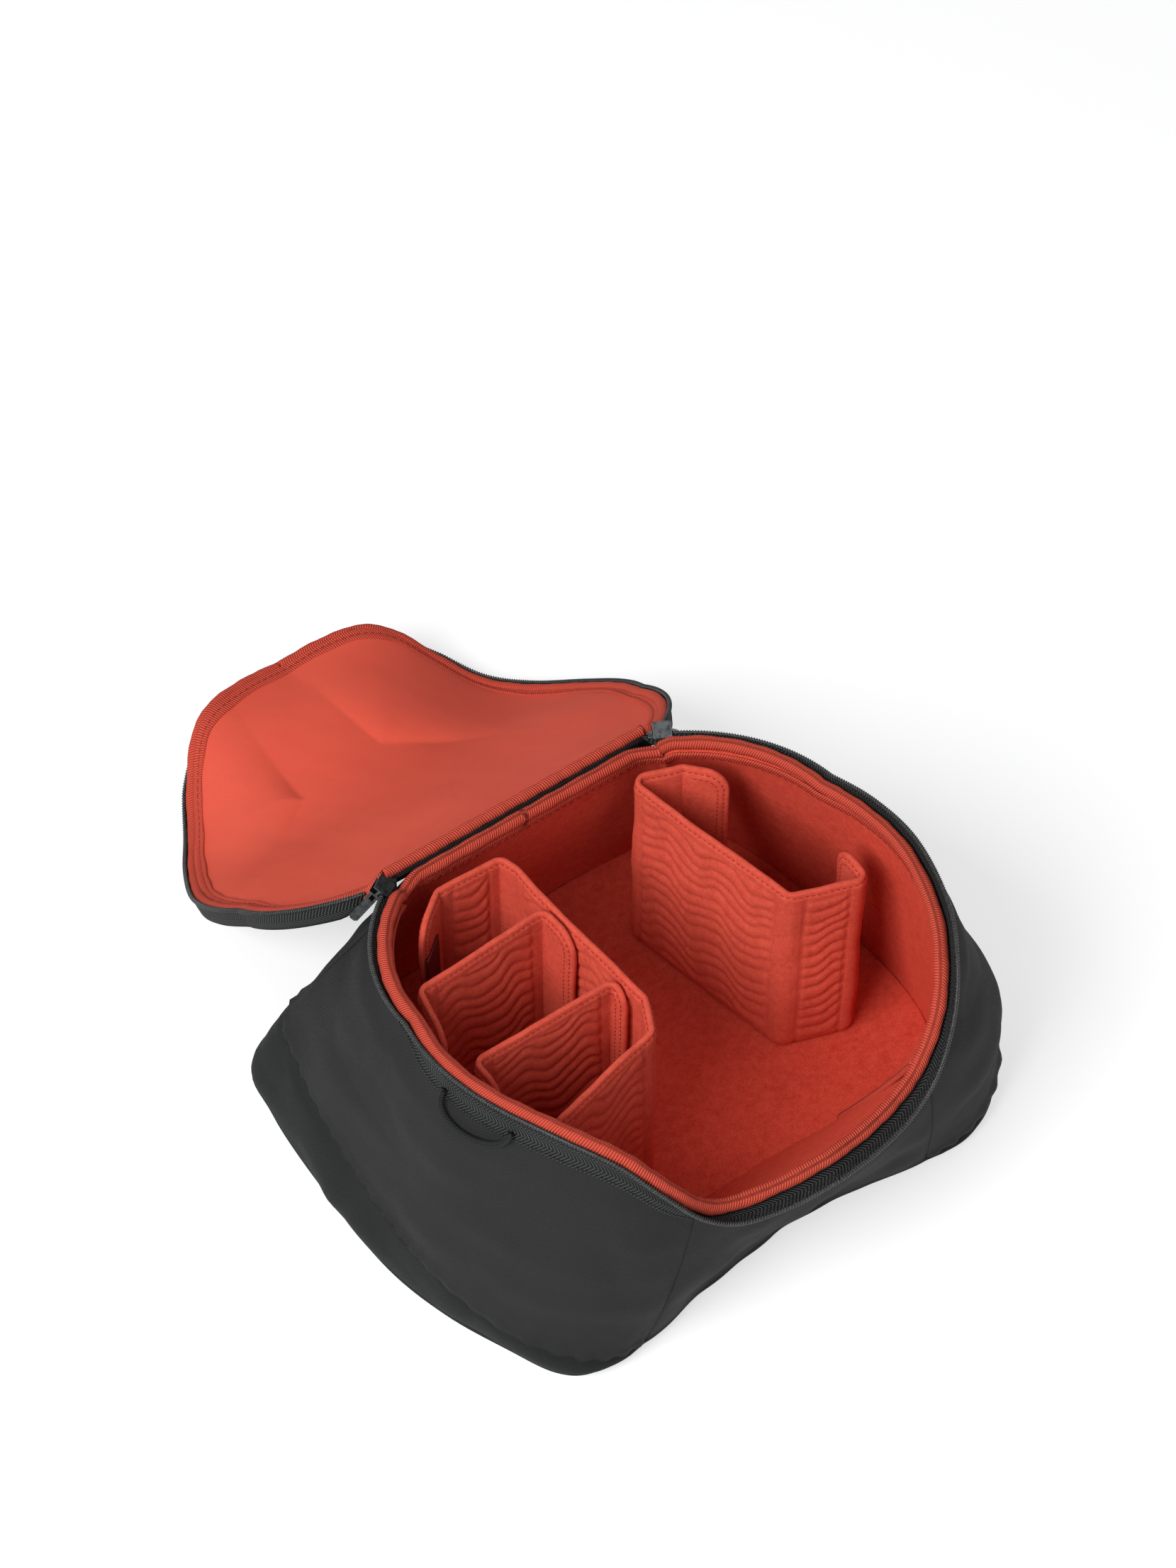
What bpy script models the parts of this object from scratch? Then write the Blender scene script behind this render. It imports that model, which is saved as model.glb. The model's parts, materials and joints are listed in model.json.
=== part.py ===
"""Camera bag insert: a padded, zip-topped soft case that lies open on its base.

The body is a bag of sewn panels with padded, lined walls. Its opening is a curved rim with a zip.
The lid has the same rim curve, hangs on a sewn fold along the back of the opening, and lies thrown
right over behind the bag. Loose padded dividers stand on the floor of the bag.

Metres, +Z up. X is across, the front of the bag faces -Y, and the origin is on the ground, under the
middle of the base. Half the rim is described by ribs, numbered 0 at the middle of the back, 2 at the
end of the hinge, 4 at the end of the rear corner's arc, and 13 at the middle of the front.
"""

import math

import bmesh
import bpy
import numpy as np
from mathutils import Matrix, Vector

# Driving dimensions of the body
RIM_HALF_WIDTH = 0.137
RIM_DEPTH = 0.261
BASE_HALF_WIDTH = 0.167
HINGE_HALF_LENGTH = 0.080
HINGE_HEIGHT = 0.140
HINGE_BEHIND_ORIGIN = 0.092
GUSSET_HEIGHT = 0.043

# The rim's rear corner is a true arc, so that a zip slider can run round it
CORNER_RADIUS = 0.102
CORNER_CENTRE_ASIDE = 0.030
CORNER_RAKE = math.radians(9.1)

# Cloth, foam and clearances
CLEARANCE = 0.0003
PANEL_THICK = 0.0016
BASE_THICK = 0.0025
FLOOR_THICK = 0.0080
WALL_THICK = 0.0100
PANEL_BULGE = 0.0040
RIGHT_SPREAD = 0.0150
FOOT_SPREAD_SHARE = 0.3
SPREAD_RIBS = (3.5, 10.0)
GUSSET_BULGE = 0.0025

# Rim trim
TAPE_WIDTH = 0.0100
TAPE_THICK = 0.0008
CHAIN_RADIUS = 0.0013
CHAIN_START = 0.0040
BINDING_RADIUS = 0.0035
BINDING_DROP = -0.0024
HINGE_BINDING_DROP = 0.0038
CORNER_BINDING_RADIUS = 0.0022

# Hinge fold
FOLD_RADIUS = 0.0015
FOLD_END_SETBACK = 0.0030

# Lid
LID_OPEN_ANGLE = math.radians(208.5)
LID_STRIP_ANGLE = math.radians(40.0)
LID_STRIP_WIDTH = 0.0098
LID_STRIP_THICK = 0.0008
LID_HINGE_BINDING_RADIUS = 0.0022
LID_HINGE_BINDING_OFF = 0.0055
LID_HINGE_BINDING_RISE = 0.0010
LID_CHAIN_GAP = 0.0006
LID_CHAIN_START = 0.0155
LID_BINDING_RADIUS = 0.0024
LID_BINDING_RISE = 0.0024
LID_TRIM_START_RIB = 2.45
LID_PAD_THICK = 0.0050
LID_PAD_HINGE_THICK = 0.0030
LID_SHELL_THICK = 0.0018
LID_CROWN = 0.0180
LID_DOME = 0.0060
LID_CENTRE_DEPTH = 0.130
LID_EDGE_HEIGHT = 0.0090
LID_EDGE_IN = 0.0015
RELIEF_HEIGHT = 0.0080
RELIEF_SLOPE_WIDTH = 0.016
RELIEF_REACH = (0.020, 0.066)

# Zip slider and its pull
SLIDER_LENGTH = 0.0100
SLIDER_BACK = 0.0028
SLIDER_FRONT = 0.0062
SLIDER_PLATE = 0.0010
SLIDER_POST = 0.0014
SLIDER_SLACK = 0.0004
SLIDER_AT = 0.0090
SLIDER_TILT = math.radians(41.5)
CROWN_SPAN = 0.0074
CROWN_RISE = 0.0030
CROWN_BAR = 0.0009
CROWN_WIDTH = 0.0016
PULL_BAR = 0.0011
PULL_WINDOW_WIDTH = 0.0026
PULL_WINDOW_LENGTH = 0.0062
PULL_WIDTH = 0.0052
PULL_LENGTH = 0.0220
PULL_HANG = math.radians(70.0)
STOP_LENGTH = 0.0024
STOP_WIDTH = 0.0040
STOP_AT = 0.0024

# Dividers
DIVIDER_TOP = 0.138
DIVIDER_THICK = 0.0050
DIVIDER_FOLD_RADIUS = 0.0050
HOOK_THICK = 0.0010
HOOK_HEIGHT = 0.090
HOOK_LENGTH = 0.018
HOOK_RISE = 0.014

# Hanging loop
LOOP_RADIUS = 0.0016
LOOP_DROP = 0.015

# Detail of the surfaces
RIBS = 13
STEPS_PER_RIB = 3
ARC_STEPS_PER_RIB = 6
PANEL_ROWS = 5
GUSSET_ROWS = 2
LID_RINGS = 8
TUBE_SIDES = 1
CORNER_BINDING_STEPS = 5
LOOP_STEPS = 14
TANGENT_STEP = 0.05
SHORTEST_STEP = 0.08
SHARP_ANGLE = math.radians(40.0)
QUARTER_TURN = math.pi / 2

# The rim's free edge from the end of the corner's arc to the middle of the front, as
# (of the half width, of the depth from the hinge, of the hinge height)
RIM_SHARES = [
    (0.993, 0.460, 1.143),
    (0.964, 0.594, 1.186),
    (0.861, 0.743, 1.207),
    (0.752, 0.839, 1.164),
    (0.650, 0.904, 1.043),
    (0.526, 0.946, 0.886),
    (0.380, 0.969, 0.793),
    (0.190, 0.989, 0.779),
    (0.000, 1.000, 0.793),
]

# Each rib's foot on the ground, and the seam over the gusset, as (of the base half width, of the
# rim depth forward of the hinge, and for the seam of the gusset height)
BASE_SHARES = [
    (0.000, -0.169),
    (0.450, -0.169),
    (0.886, -0.146),
    (0.970, -0.008),
    (1.000, 0.230),
    (1.000, 0.429),
    (0.952, 0.582),
    (0.874, 0.713),
    (0.802, 0.812),
    (0.707, 0.854),
    (0.551, 0.851),
    (0.347, 0.820),
    (0.168, 0.808),
    (0.000, 0.805),
]
SEAM_SHARES = [
    (0.000, -0.130, 1.00),
    (0.420, -0.126, 1.00),
    (0.790, -0.107, 1.00),
    (0.886, 0.038, 0.98),
    (0.946, 0.222, 0.98),
    (0.976, 0.402, 0.93),
    (0.970, 0.556, 0.84),
    (0.898, 0.728, 0.65),
    (0.790, 0.824, 0.45),
    (0.680, 0.868, 0.32),
    (0.545, 0.872, 0.24),
    (0.345, 0.842, 0.24),
    (0.168, 0.830, 0.24),
    (0.000, 0.826, 0.24),
]

# The foot of the lined wall on the floor, in the same shares as the base
FLOOR_SHARES = [
    (0.000, -0.115),
    (0.420, -0.115),
    (0.766, -0.084),
    (0.856, 0.000),
    (0.910, 0.190),
    (0.916, 0.402),
    (0.892, 0.556),
    (0.826, 0.659),
    (0.719, 0.709),
    (0.569, 0.713),
    (0.420, 0.705),
    (0.270, 0.697),
    (0.130, 0.693),
    (0.000, 0.693),
]

# How the zip tape stands at ribs 2 to 13, as (inward, downward) shares of its width
TAPE_SHARES = [
    (0.70, 0.62),
    (0.70, 0.62),
    (0.50, 0.84),
    (0.22, 0.95),
    (0.15, 0.97),
    (0.20, 0.95),
    (0.30, 0.90),
    (0.50, 0.80),
    (0.80, 0.50),
    (0.97, 0.20),
    (1.00, 0.10),
    (1.00, 0.10),
]

# Seams between panels, as rib numbers
REAR_SEAM_RIB = 2
FRONT_SEAM_RIB = 10

# The rib where the rear corner's arc ends
ARC_END_RIB = 4

# How far the side panels' tops start beyond the hinge's ends, in ribs
CORNER_SEAM_SHIFT = 0.14

# How far the change from the hinge's edge to the zip's edge reaches before and after the hinge's
# end, and where the panels' belly and the lid's own edge have come in, in ribs from there
HINGE_END_RIBS = 1 / 3
CORNER_BLEND_RIBS = 0.6
BELLY_RIBS = 1.5
LID_PAD_RIBS = 0.3
LID_RISE_RIBS = (0.15, 0.67)

# The bound seam down each front inside corner, as the ribs and the height shares of its two ends
CORNER_BINDING_RIBS = (9.9, 10.3)
CORNER_BINDING_HEIGHT_SHARES = (0.96, 0.30)

# The shell beyond the lining, whose edge is at share 1, out over the zip tape
SHELL_EDGE_SHARES = [1.5, 2.0]

# The share of a panel's height below its top where its direction is read
TOP_SHARE = 0.8

# How steeply the lid's crown falls to its edge, and how square the loop's ends are
CROWN_POWER = 1.7
LOOP_POWER = 0.8

# Plans of the dividers, as (of the rim half width, of the rim depth forward of the hinge)
LEFT_DIVIDER_SHARES = [
    (-0.640, 0.135),
    (-0.480, 0.068),
    (-0.200, 0.076),
    (-0.183, 0.120),
    (-0.165, 0.515),
    (-0.230, 0.585),
    (-0.780, 0.645),
]
REAR_CROSS_SHARES = [
    (-0.845, 0.370),
    (-0.785, 0.245),
    (-0.2175, 0.232),
    (-0.213, 0.330),
]
FRONT_CROSS_SHARES = [
    (-0.800, 0.520),
    (-0.815, 0.440),
    (-0.206, 0.446),
    (-0.205, 0.488),
]
RIGHT_DIVIDER_SHARES = [
    (0.728, 0.178),
    (0.611, 0.1034),
    (0.415, 0.062),
    (0.545, 0.485),
    (0.832, 0.540),
    (0.855, 0.440),
]

# The crease of the moulded relief in one half of the lid's lining, from its front end round its bend
# to its rear end, as (of the rim half width, of the rim depth)
RELIEF_SHARES = [(0.20, 0.86), (0.13, 0.62), (0.42, 0.47)]

# The hanging loop on the left side, as the two ribs that it is sewn at
LOOP_RIBS = (5.25, 6.40)


def linear(red, green, blue):
    """The linear colour of an sRGB colour given from 0 to 255."""
    shares = [channel / 255.0 for channel in (red, green, blue)]
    return tuple(c / 12.92 if c <= 0.04045 else ((c + 0.055) / 1.055) ** 2.4 for c in shares)


COLOURS = {
    "shell_cloth": (linear(50, 50, 50), 0.75, 0.0),
    "base_cloth": (linear(38, 38, 39), 0.80, 0.0),
    "zip_tape": (linear(42, 43, 43), 0.85, 0.0),
    "zip_coil": (linear(30, 31, 31), 0.45, 0.0),
    "red_lining": (linear(200, 76, 58), 0.90, 0.0),
    "red_fleece": (linear(168, 44, 36), 0.95, 0.0),
    "red_binding": (linear(205, 84, 66), 0.85, 0.0),
    "red_quilt": (linear(190, 66, 52), 0.90, 0.0),
    "red_hook": (linear(120, 24, 22), 0.90, 0.0),
    "slider_metal": (linear(120, 122, 122), 0.35, 0.9),
}


def material(name):
    found = bpy.data.materials.get(name)
    if found:
        return found
    colour, roughness, metallic = COLOURS[name]
    made = bpy.data.materials.new(name)
    made.use_nodes = True
    shader = made.node_tree.nodes["Principled BSDF"]
    shader.inputs["Base Color"].default_value = (*colour, 1.0)
    shader.inputs["Roughness"].default_value = roughness
    shader.inputs["Metallic"].default_value = metallic
    made.diffuse_color = (*colour, 1.0)
    return made


def start_scene():
    for thing in list(bpy.data.objects):
        bpy.data.objects.remove(thing, do_unlink=True)
    kept = bpy.data.collections.new("camera_bag_insert")
    bpy.context.scene.collection.children.link(kept)
    cutters = bpy.data.collections.new("cutters")
    cutters.hide_render = True
    bpy.context.scene.collection.children.link(cutters)
    return kept, cutters


PARTS, CUTTERS = start_scene()


def put(thing, look, parent=None):
    """Links an object into the insert, with its material and its parent."""
    PARTS.objects.link(thing)
    thing.data.materials.append(material(look))
    if parent:
        thing.parent = parent
    return thing


def through(table, at):
    """A smooth curve through the rows of a table, at a row number that may lie between two rows."""
    rows = np.asarray(table, float)
    last = len(rows) - 1
    at = min(max(at, 0.0), float(last))
    low = min(int(at), last - 1)
    t = at - low
    before = rows[low - 1] if low > 0 else 2 * rows[0] - rows[1]
    after = rows[low + 2] if low + 2 <= last else 2 * rows[last] - rows[last - 1]
    a, b = rows[low], rows[low + 1]
    return 0.5 * (
        2 * a
        + (b - before) * t
        + (2 * before - 5 * a + 4 * b - after) * t**2
        + (3 * a - before - 3 * b + after) * t**3
    )


def placed(aside, forward, height):
    """A point from its distance aside, its distance forward of the hinge, and its height."""
    return np.array([aside, HINGE_BEHIND_ORIGIN - forward, height])


def plan(shares):
    """The level points of a table of shares of the rim's half width and depth."""
    return [placed(a * RIM_HALF_WIDTH, f * RIM_DEPTH, 0.0)[:2] for a, f in shares]


HINGE_TURN = math.acos((HINGE_HALF_LENGTH - CORNER_CENTRE_ASIDE) / CORNER_RADIUS)
CORNER_FORWARD = CORNER_RADIUS * math.sin(HINGE_TURN) * math.cos(CORNER_RAKE)
CORNER_HEIGHT = HINGE_HEIGHT + CORNER_RADIUS * math.sin(HINGE_TURN) * math.sin(CORNER_RAKE)
CORNER_CENTRE = placed(CORNER_CENTRE_ASIDE, CORNER_FORWARD, CORNER_HEIGHT)
CORNER_AXIS = np.array([0.0, math.sin(CORNER_RAKE), math.cos(CORNER_RAKE)])


def corner_arm(turn):
    """The unit arm of the rear corner's arc, square to its axis."""
    across = math.sin(turn)
    return np.array(
        [math.cos(turn), across * math.cos(CORNER_RAKE), -across * math.sin(CORNER_RAKE)]
    )


def rim_edge(rib):
    """The free edge of the body's zip on the right half of the rim."""
    if rib <= REAR_SEAM_RIB:
        return placed(HINGE_HALF_LENGTH * rib / REAR_SEAM_RIB, 0.0, HINGE_HEIGHT)
    arc_ribs = ARC_END_RIB - REAR_SEAM_RIB
    if rib <= ARC_END_RIB:
        turn = HINGE_TURN * (ARC_END_RIB - rib) / arc_ribs
        return CORNER_CENTRE + CORNER_RADIUS * corner_arm(turn)
    before = corner_end_shares(HINGE_TURN / arc_ribs)
    start = corner_end_shares(0.0)
    aside, forward, height = through([before, start] + RIM_SHARES, rib - ARC_END_RIB + 1)
    return placed(aside * RIM_HALF_WIDTH, forward * RIM_DEPTH, height * HINGE_HEIGHT)


def corner_end_shares(turn):
    point = CORNER_CENTRE + CORNER_RADIUS * corner_arm(turn)
    forward = HINGE_BEHIND_ORIGIN - point[1]
    return (point[0] / RIM_HALF_WIDTH, forward / RIM_DEPTH, point[2] / HINGE_HEIGHT)


def base_foot(rib):
    aside, forward = through(BASE_SHARES, rib)
    return placed(aside * BASE_HALF_WIDTH, forward * RIM_DEPTH, BASE_THICK + CLEARANCE)


def gusset_seam(rib):
    aside, forward, height = through(SEAM_SHARES, rib)
    return placed(aside * BASE_HALF_WIDTH, forward * RIM_DEPTH, height * GUSSET_HEIGHT)


def wall_foot(rib):
    aside, forward = through(FLOOR_SHARES, rib)
    return placed(aside * BASE_HALF_WIDTH, forward * RIM_DEPTH, BASE_THICK + CLEARANCE)


def inward(rib):
    """The level direction into the bag, square to its wall at this rib."""
    ahead, behind = min(rib + TANGENT_STEP, RIBS), max(rib - TANGENT_STEP, 0.0)
    along = (gusset_seam(ahead) - gusset_seam(behind)) + (rim_edge(ahead) - rim_edge(behind))
    into = np.array([along[1], -along[0], 0.0])
    return into / np.linalg.norm(into)


def rim_tangent(rib):
    along = rim_edge(min(rib + TANGENT_STEP, RIBS)) - rim_edge(max(rib - TANGENT_STEP, 0.0))
    return along / np.linalg.norm(along)


def rim_up(rib):
    """Upward, square to the rim where it climbs or falls."""
    along = rim_tangent(rib)
    up = np.array([0.0, 0.0, 1.0])
    up = up - along * np.dot(up, along)
    return up / np.linalg.norm(up)


def between(ends, share):
    return ends[0] + (ends[1] - ends[0]) * share


def blend(rib, start, end):
    """0 before the first rib, 1 after the second, and a smooth step between them."""
    t = min(max((rib - start) / (end - start), 0.0), 1.0)
    return t * t * (3 - 2 * t)


def panel_top(rib):
    """The top edge of the outer panels: under the hinge fold, then where the zip tape is sewn on."""
    seam_rib = max(rib, REAR_SEAM_RIB)
    shift = CORNER_SEAM_SHIFT * (1 - blend(rib, REAR_SEAM_RIB, REAR_SEAM_RIB + CORNER_BLEND_RIBS))
    tape_in, tape_down = through(TAPE_SHARES, seam_rib - REAR_SEAM_RIB)
    level = inward(seam_rib) * tape_in * TAPE_WIDTH
    seam = rim_edge(seam_rib + shift) + level - np.array([0.0, 0.0, tape_down * TAPE_WIDTH])
    if rib >= REAR_SEAM_RIB:
        return seam
    under_fold = rim_edge(rib) - np.array([0.0, CLEARANCE, FOLD_RADIUS + CLEARANCE])
    part = blend(rib, REAR_SEAM_RIB - HINGE_END_RIBS, REAR_SEAM_RIB)
    return under_fold * (1 - part) + seam * part


def round_body(at):
    """The rib number and the side, 1 right or -1 left, of a place round the whole body."""
    at = at % (2 * RIBS)
    return (at, 1) if at <= RIBS else (2 * RIBS - at, -1)


def mirrored(point, side):
    return np.array([point[0] * side, point[1], point[2]])


def spread(rib, side):
    """How far the contents push the right side out, at the gusset's seam."""
    if side < 0 or not SPREAD_RIBS[0] < rib < SPREAD_RIBS[1]:
        return 0.0
    part = (rib - SPREAD_RIBS[0]) / (SPREAD_RIBS[1] - SPREAD_RIBS[0])
    return RIGHT_SPREAD * math.sin(math.pi * part) ** 2


def panel_outside(at, share):
    """The outer face above the gusset, from its seam at 0 to its top at 1."""
    rib, side = round_body(at)
    low, high = gusset_seam(rib), panel_top(rib)
    grown = blend(rib, REAR_SEAM_RIB, REAR_SEAM_RIB + BELLY_RIBS)
    belly = PANEL_BULGE * math.sin(math.pi * share) * grown
    out = -inward(rib) * (belly + spread(rib, side) * (1 - share * share))
    return mirrored(low + (high - low) * share + out, side)


WALL_ROWS = GUSSET_ROWS + PANEL_ROWS
SEAM_SHARE = GUSSET_ROWS / WALL_ROWS


def gusset_outside(at, share):
    rib, side = round_body(at)
    low, high = base_foot(rib), gusset_seam(rib)
    out = -inward(rib) * (GUSSET_BULGE * math.sin(math.pi * share) + spread(rib, side) * share)
    return mirrored(low + (high - low) * share + out, side)


def set_in(face, depth):
    """The same face moved straight into the bag by a depth."""

    def moved(at, share):
        rib, side = round_body(at)
        return face(at, share) + mirrored(inward(rib), side) * depth

    return moved


def outside(at, share):
    """The whole outer face from base to rim, with the gusset's seam a fixed share of the way up."""
    if share < SEAM_SHARE:
        return gusset_outside(at, share / SEAM_SHARE)
    return panel_outside(at, (share - SEAM_SHARE) / (1 - SEAM_SHARE))


def top_axes(at):
    """Up along the panel and square into the bag, at the panel's top."""
    rib, side = round_body(at)
    up = panel_outside(at, 1.0) - panel_outside(at, TOP_SHARE)
    up = up / np.linalg.norm(up)
    into = np.cross(up, mirrored(rim_tangent(rib), side))
    into = into * math.copysign(1, np.dot(into, mirrored(inward(rib), side)))
    return up, into / np.linalg.norm(into)


def binding_drop(rib):
    """How far the binding's middle lies under the top of the panels."""
    part = blend(rib, REAR_SEAM_RIB - HINGE_END_RIBS, REAR_SEAM_RIB)
    return HINGE_BINDING_DROP * (1 - part) + BINDING_DROP * part


def pad_drop(at):
    """How far the wall's top lies under the top of the panels, below the binding."""
    rib, side = round_body(at)
    up, _ = top_axes(at)
    square = np.linalg.norm(np.cross(up, mirrored(rim_tangent(rib), side)))
    return binding_drop(rib) + (BINDING_RADIUS + 3 * CLEARANCE) / square


def pad_outside(at, share):
    """The back of the padded wall, against the panels and cut short under the binding."""
    rib, side = round_body(at)
    if share < 1:
        return outside(at, share) + mirrored(inward(rib), side) * (PANEL_THICK + CLEARANCE)
    up, into = top_axes(at)
    return outside(at, 1.0) + into * (PANEL_THICK + 2 * CLEARANCE) - up * pad_drop(at)


def pad_inside(at, share):
    """The lined face of the padded wall: upright beside the floor pad, then straight to its top."""
    rib, side = round_body(at)
    up, into = top_axes(at)
    low = mirrored(wall_foot(rib) - inward(rib) * spread(rib, side) * FOOT_SPREAD_SHARE, side)
    upright_share = 1 / WALL_ROWS
    rise = np.array([0.0, 0.0, FLOOR_THICK + CLEARANCE])
    if share <= upright_share:
        return low + rise * share / upright_share
    high = outside(at, 1.0) + into * WALL_THICK - up * pad_drop(at)
    return low + rise + (high - low - rise) * (share - upright_share) / (1 - upright_share)


def places(first, last, steps=STEPS_PER_RIB):
    """Evenly spaced places round the body, from the first to the last."""
    count = max(2, int(round(abs(last - first) * steps)))
    return [first + (last - first) * i / count for i in range(count + 1)]


def slab(name, look, outer, inner, closed=False, parent=None):
    """A closed solid between two grids of points, which is open at no edge."""
    mesh = bpy.data.meshes.new(name)
    shape = bmesh.new()
    outer = np.asarray(outer)
    inner = np.asarray(inner)
    columns, rows = outer.shape[:2]
    front = [[shape.verts.new(point) for point in line] for line in outer]
    back = [[shape.verts.new(point) for point in line] for line in inner]
    spans = columns if closed else columns - 1
    for i in range(spans):
        j = (i + 1) % columns
        for r in range(rows - 1):
            for skin in (front, back):
                shape.faces.new((skin[i][r], skin[j][r], skin[j][r + 1]))
                shape.faces.new((skin[i][r], skin[j][r + 1], skin[i][r + 1]))
        shape.faces.new((front[i][0], back[i][0], back[j][0], front[j][0]))
        shape.faces.new((front[i][-1], front[j][-1], back[j][-1], back[i][-1]))
    if not closed:
        for r in range(rows - 1):
            shape.faces.new((front[0][r], front[0][r + 1], back[0][r + 1], back[0][r]))
            shape.faces.new((front[-1][r], back[-1][r], back[-1][r + 1], front[-1][r + 1]))
    bmesh.ops.recalc_face_normals(shape, faces=shape.faces)
    shape.to_mesh(mesh)
    shape.free()
    mesh.shade_smooth()
    mesh.set_sharp_from_angle(angle=SHARP_ANGLE)
    return put(bpy.data.objects.new(name, mesh), look, parent)


def wall(name, look, outer, inner, ends, rows, low):
    """A wall panel between two faces, over a range of ribs and up from a share of its height."""
    columns = places(*ends)
    shares = [low + (1 - low) * i / rows for i in range(rows + 1)]
    grids = []
    for face in (outer, inner):
        grid = [[face(at, share) for share in shares] for at in columns]
        grids.append([trimmed(grid[0], grid[1])] + grid[1:-1] + [trimmed(grid[-1], grid[-2])])
    return slab(name, look, *grids)


def trimmed(column, beside):
    """An end column moved half a clearance along its wall, to leave a gap at the seam."""
    steps = [near - here for here, near in zip(column, beside)]
    return [
        here + step / np.linalg.norm(step) * CLEARANCE / 2 for here, step in zip(column, steps)
    ]


def height_share(face, at, gap):
    """The share of a face's height that a gap takes."""
    return gap / np.linalg.norm(face(at, 1.0) - face(at, 0.0))


def tube(name, look, points, radius, closed=False, parent=None, sides=TUBE_SIDES):
    """A cord, chain or binding: a curve with a round bevel and filled ends."""
    curve = bpy.data.curves.new(name, "CURVE")
    curve.dimensions = "3D"
    curve.bevel_depth = radius
    curve.bevel_resolution = sides
    curve.use_fill_caps = True
    line = curve.splines.new("POLY")
    line.points.add(len(points) - 1)
    for place, point in zip(line.points, points):
        place.co = (*point, 1.0)
    line.use_cyclic_u = closed
    return put(bpy.data.objects.new(name, curve), look, parent)


def flat_plate(name, outlines, half_thick):
    """A flat plate from its outlines, as a mesh with welded caps. A second outline is a hole."""
    curve = bpy.data.curves.new(name, "CURVE")
    curve.dimensions = "2D"
    curve.fill_mode = "BOTH"
    curve.extrude = half_thick
    for outline in outlines:
        line = curve.splines.new("POLY")
        line.points.add(len(outline) - 1)
        for place, point in zip(line.points, outline):
            place.co = (point[0], point[1], 0.0, 1.0)
        line.use_cyclic_u = True
    source = bpy.data.objects.new(name + "_outline", curve)
    CUTTERS.objects.link(source)
    bpy.context.view_layer.update()
    seen = source.evaluated_get(bpy.context.evaluated_depsgraph_get())
    mesh = bpy.data.meshes.new_from_object(seen)
    mesh.name = name
    bpy.data.objects.remove(source, do_unlink=True)
    shape = bmesh.new()
    shape.from_mesh(mesh)
    bmesh.ops.remove_doubles(shape, verts=shape.verts, dist=CLEARANCE / 10)
    bmesh.ops.recalc_face_normals(shape, faces=shape.faces)
    shape.to_mesh(mesh)
    shape.free()
    return mesh


def frame_matrix(origin, x_axis, y_axis, z_axis):
    """The matrix that carries a piece from its own axes to a place in the bag."""
    turn = Matrix((x_axis, y_axis, z_axis)).transposed().to_4x4()
    return Matrix.Translation(Vector(origin)) @ turn


def base_panel():
    """The flat cloth-covered board that the insert stands on."""
    outline = [mirrored(base_foot(rib), side)[:2] for rib, side in map(round_body, round_places())]
    mesh = flat_plate("base_panel", [outline], BASE_THICK / 2)
    board = put(bpy.data.objects.new("base_panel", mesh), "base_cloth")
    board.location = (0.0, 0.0, BASE_THICK / 2)


def round_places(steps=STEPS_PER_RIB):
    """Places all round the body, with no repeat."""
    return [i / steps for i in range(2 * RIBS * steps)]


def floor_pad():
    """The lined pad on the floor of the bag, inside the padded walls."""
    outline = []
    for at in round_places():
        rib, side = round_body(at)
        point = pad_inside(at, 0.0) + mirrored(inward(rib), side) * 2 * CLEARANCE
        outline.append(point[:2])
    mesh = flat_plate("floor_pad", [outline], FLOOR_THICK / 2)
    pad = put(bpy.data.objects.new("floor_pad", mesh), "red_fleece")
    pad.location = (0.0, 0.0, BASE_THICK + CLEARANCE + FLOOR_THICK / 2)


REAR = (-REAR_SEAM_RIB, REAR_SEAM_RIB)
RIGHT = (REAR_SEAM_RIB, FRONT_SEAM_RIB)
FRONT = (FRONT_SEAM_RIB, 2 * RIBS - FRONT_SEAM_RIB)
LEFT = (2 * RIBS - FRONT_SEAM_RIB, 2 * RIBS - REAR_SEAM_RIB)


def outer_panels():
    """The sewn outer cloth: four upper panels over a dark gusset that dies out at the front."""
    hinge_side = height_share(panel_outside, 0, CLEARANCE)
    for name, ends in (("rear_panel", REAR), ("right_panel", RIGHT), ("left_panel", LEFT)):
        inner = set_in(panel_outside, PANEL_THICK)
        wall(name, "shell_cloth", panel_outside, inner, ends, PANEL_ROWS, hinge_side)
    inner = set_in(outside, PANEL_THICK)
    wall("front_panel", "shell_cloth", outside, inner, FRONT, WALL_ROWS, 0.0)
    inner = set_in(gusset_outside, PANEL_THICK)
    ends = (-FRONT_SEAM_RIB, FRONT_SEAM_RIB)
    wall("base_gusset", "base_cloth", gusset_outside, inner, ends, GUSSET_ROWS, 0.0)


def binding_middle(at):
    rib, _ = round_body(at)
    up, into = top_axes(at)
    out = PANEL_THICK + CLEARANCE + BINDING_RADIUS
    return panel_outside(at, 1.0) + into * out - up * binding_drop(rib)


def wall_pads():
    """The foam walls with their fleece, standing on the base inside the panels."""
    names = ("rear_wall_pad", "right_wall_pad", "front_wall_pad", "left_wall_pad")
    for name, ends in zip(names, (REAR, RIGHT, FRONT, LEFT)):
        wall(name, "red_fleece", pad_outside, pad_inside, ends, WALL_ROWS, 0.0)


def rim_binding():
    """The ribbed tape bound over the raw edges, right round the opening."""
    points = [binding_middle(at) for at in round_places()]
    tube("rim_binding", "red_binding", points, BINDING_RADIUS, closed=True)


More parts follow.
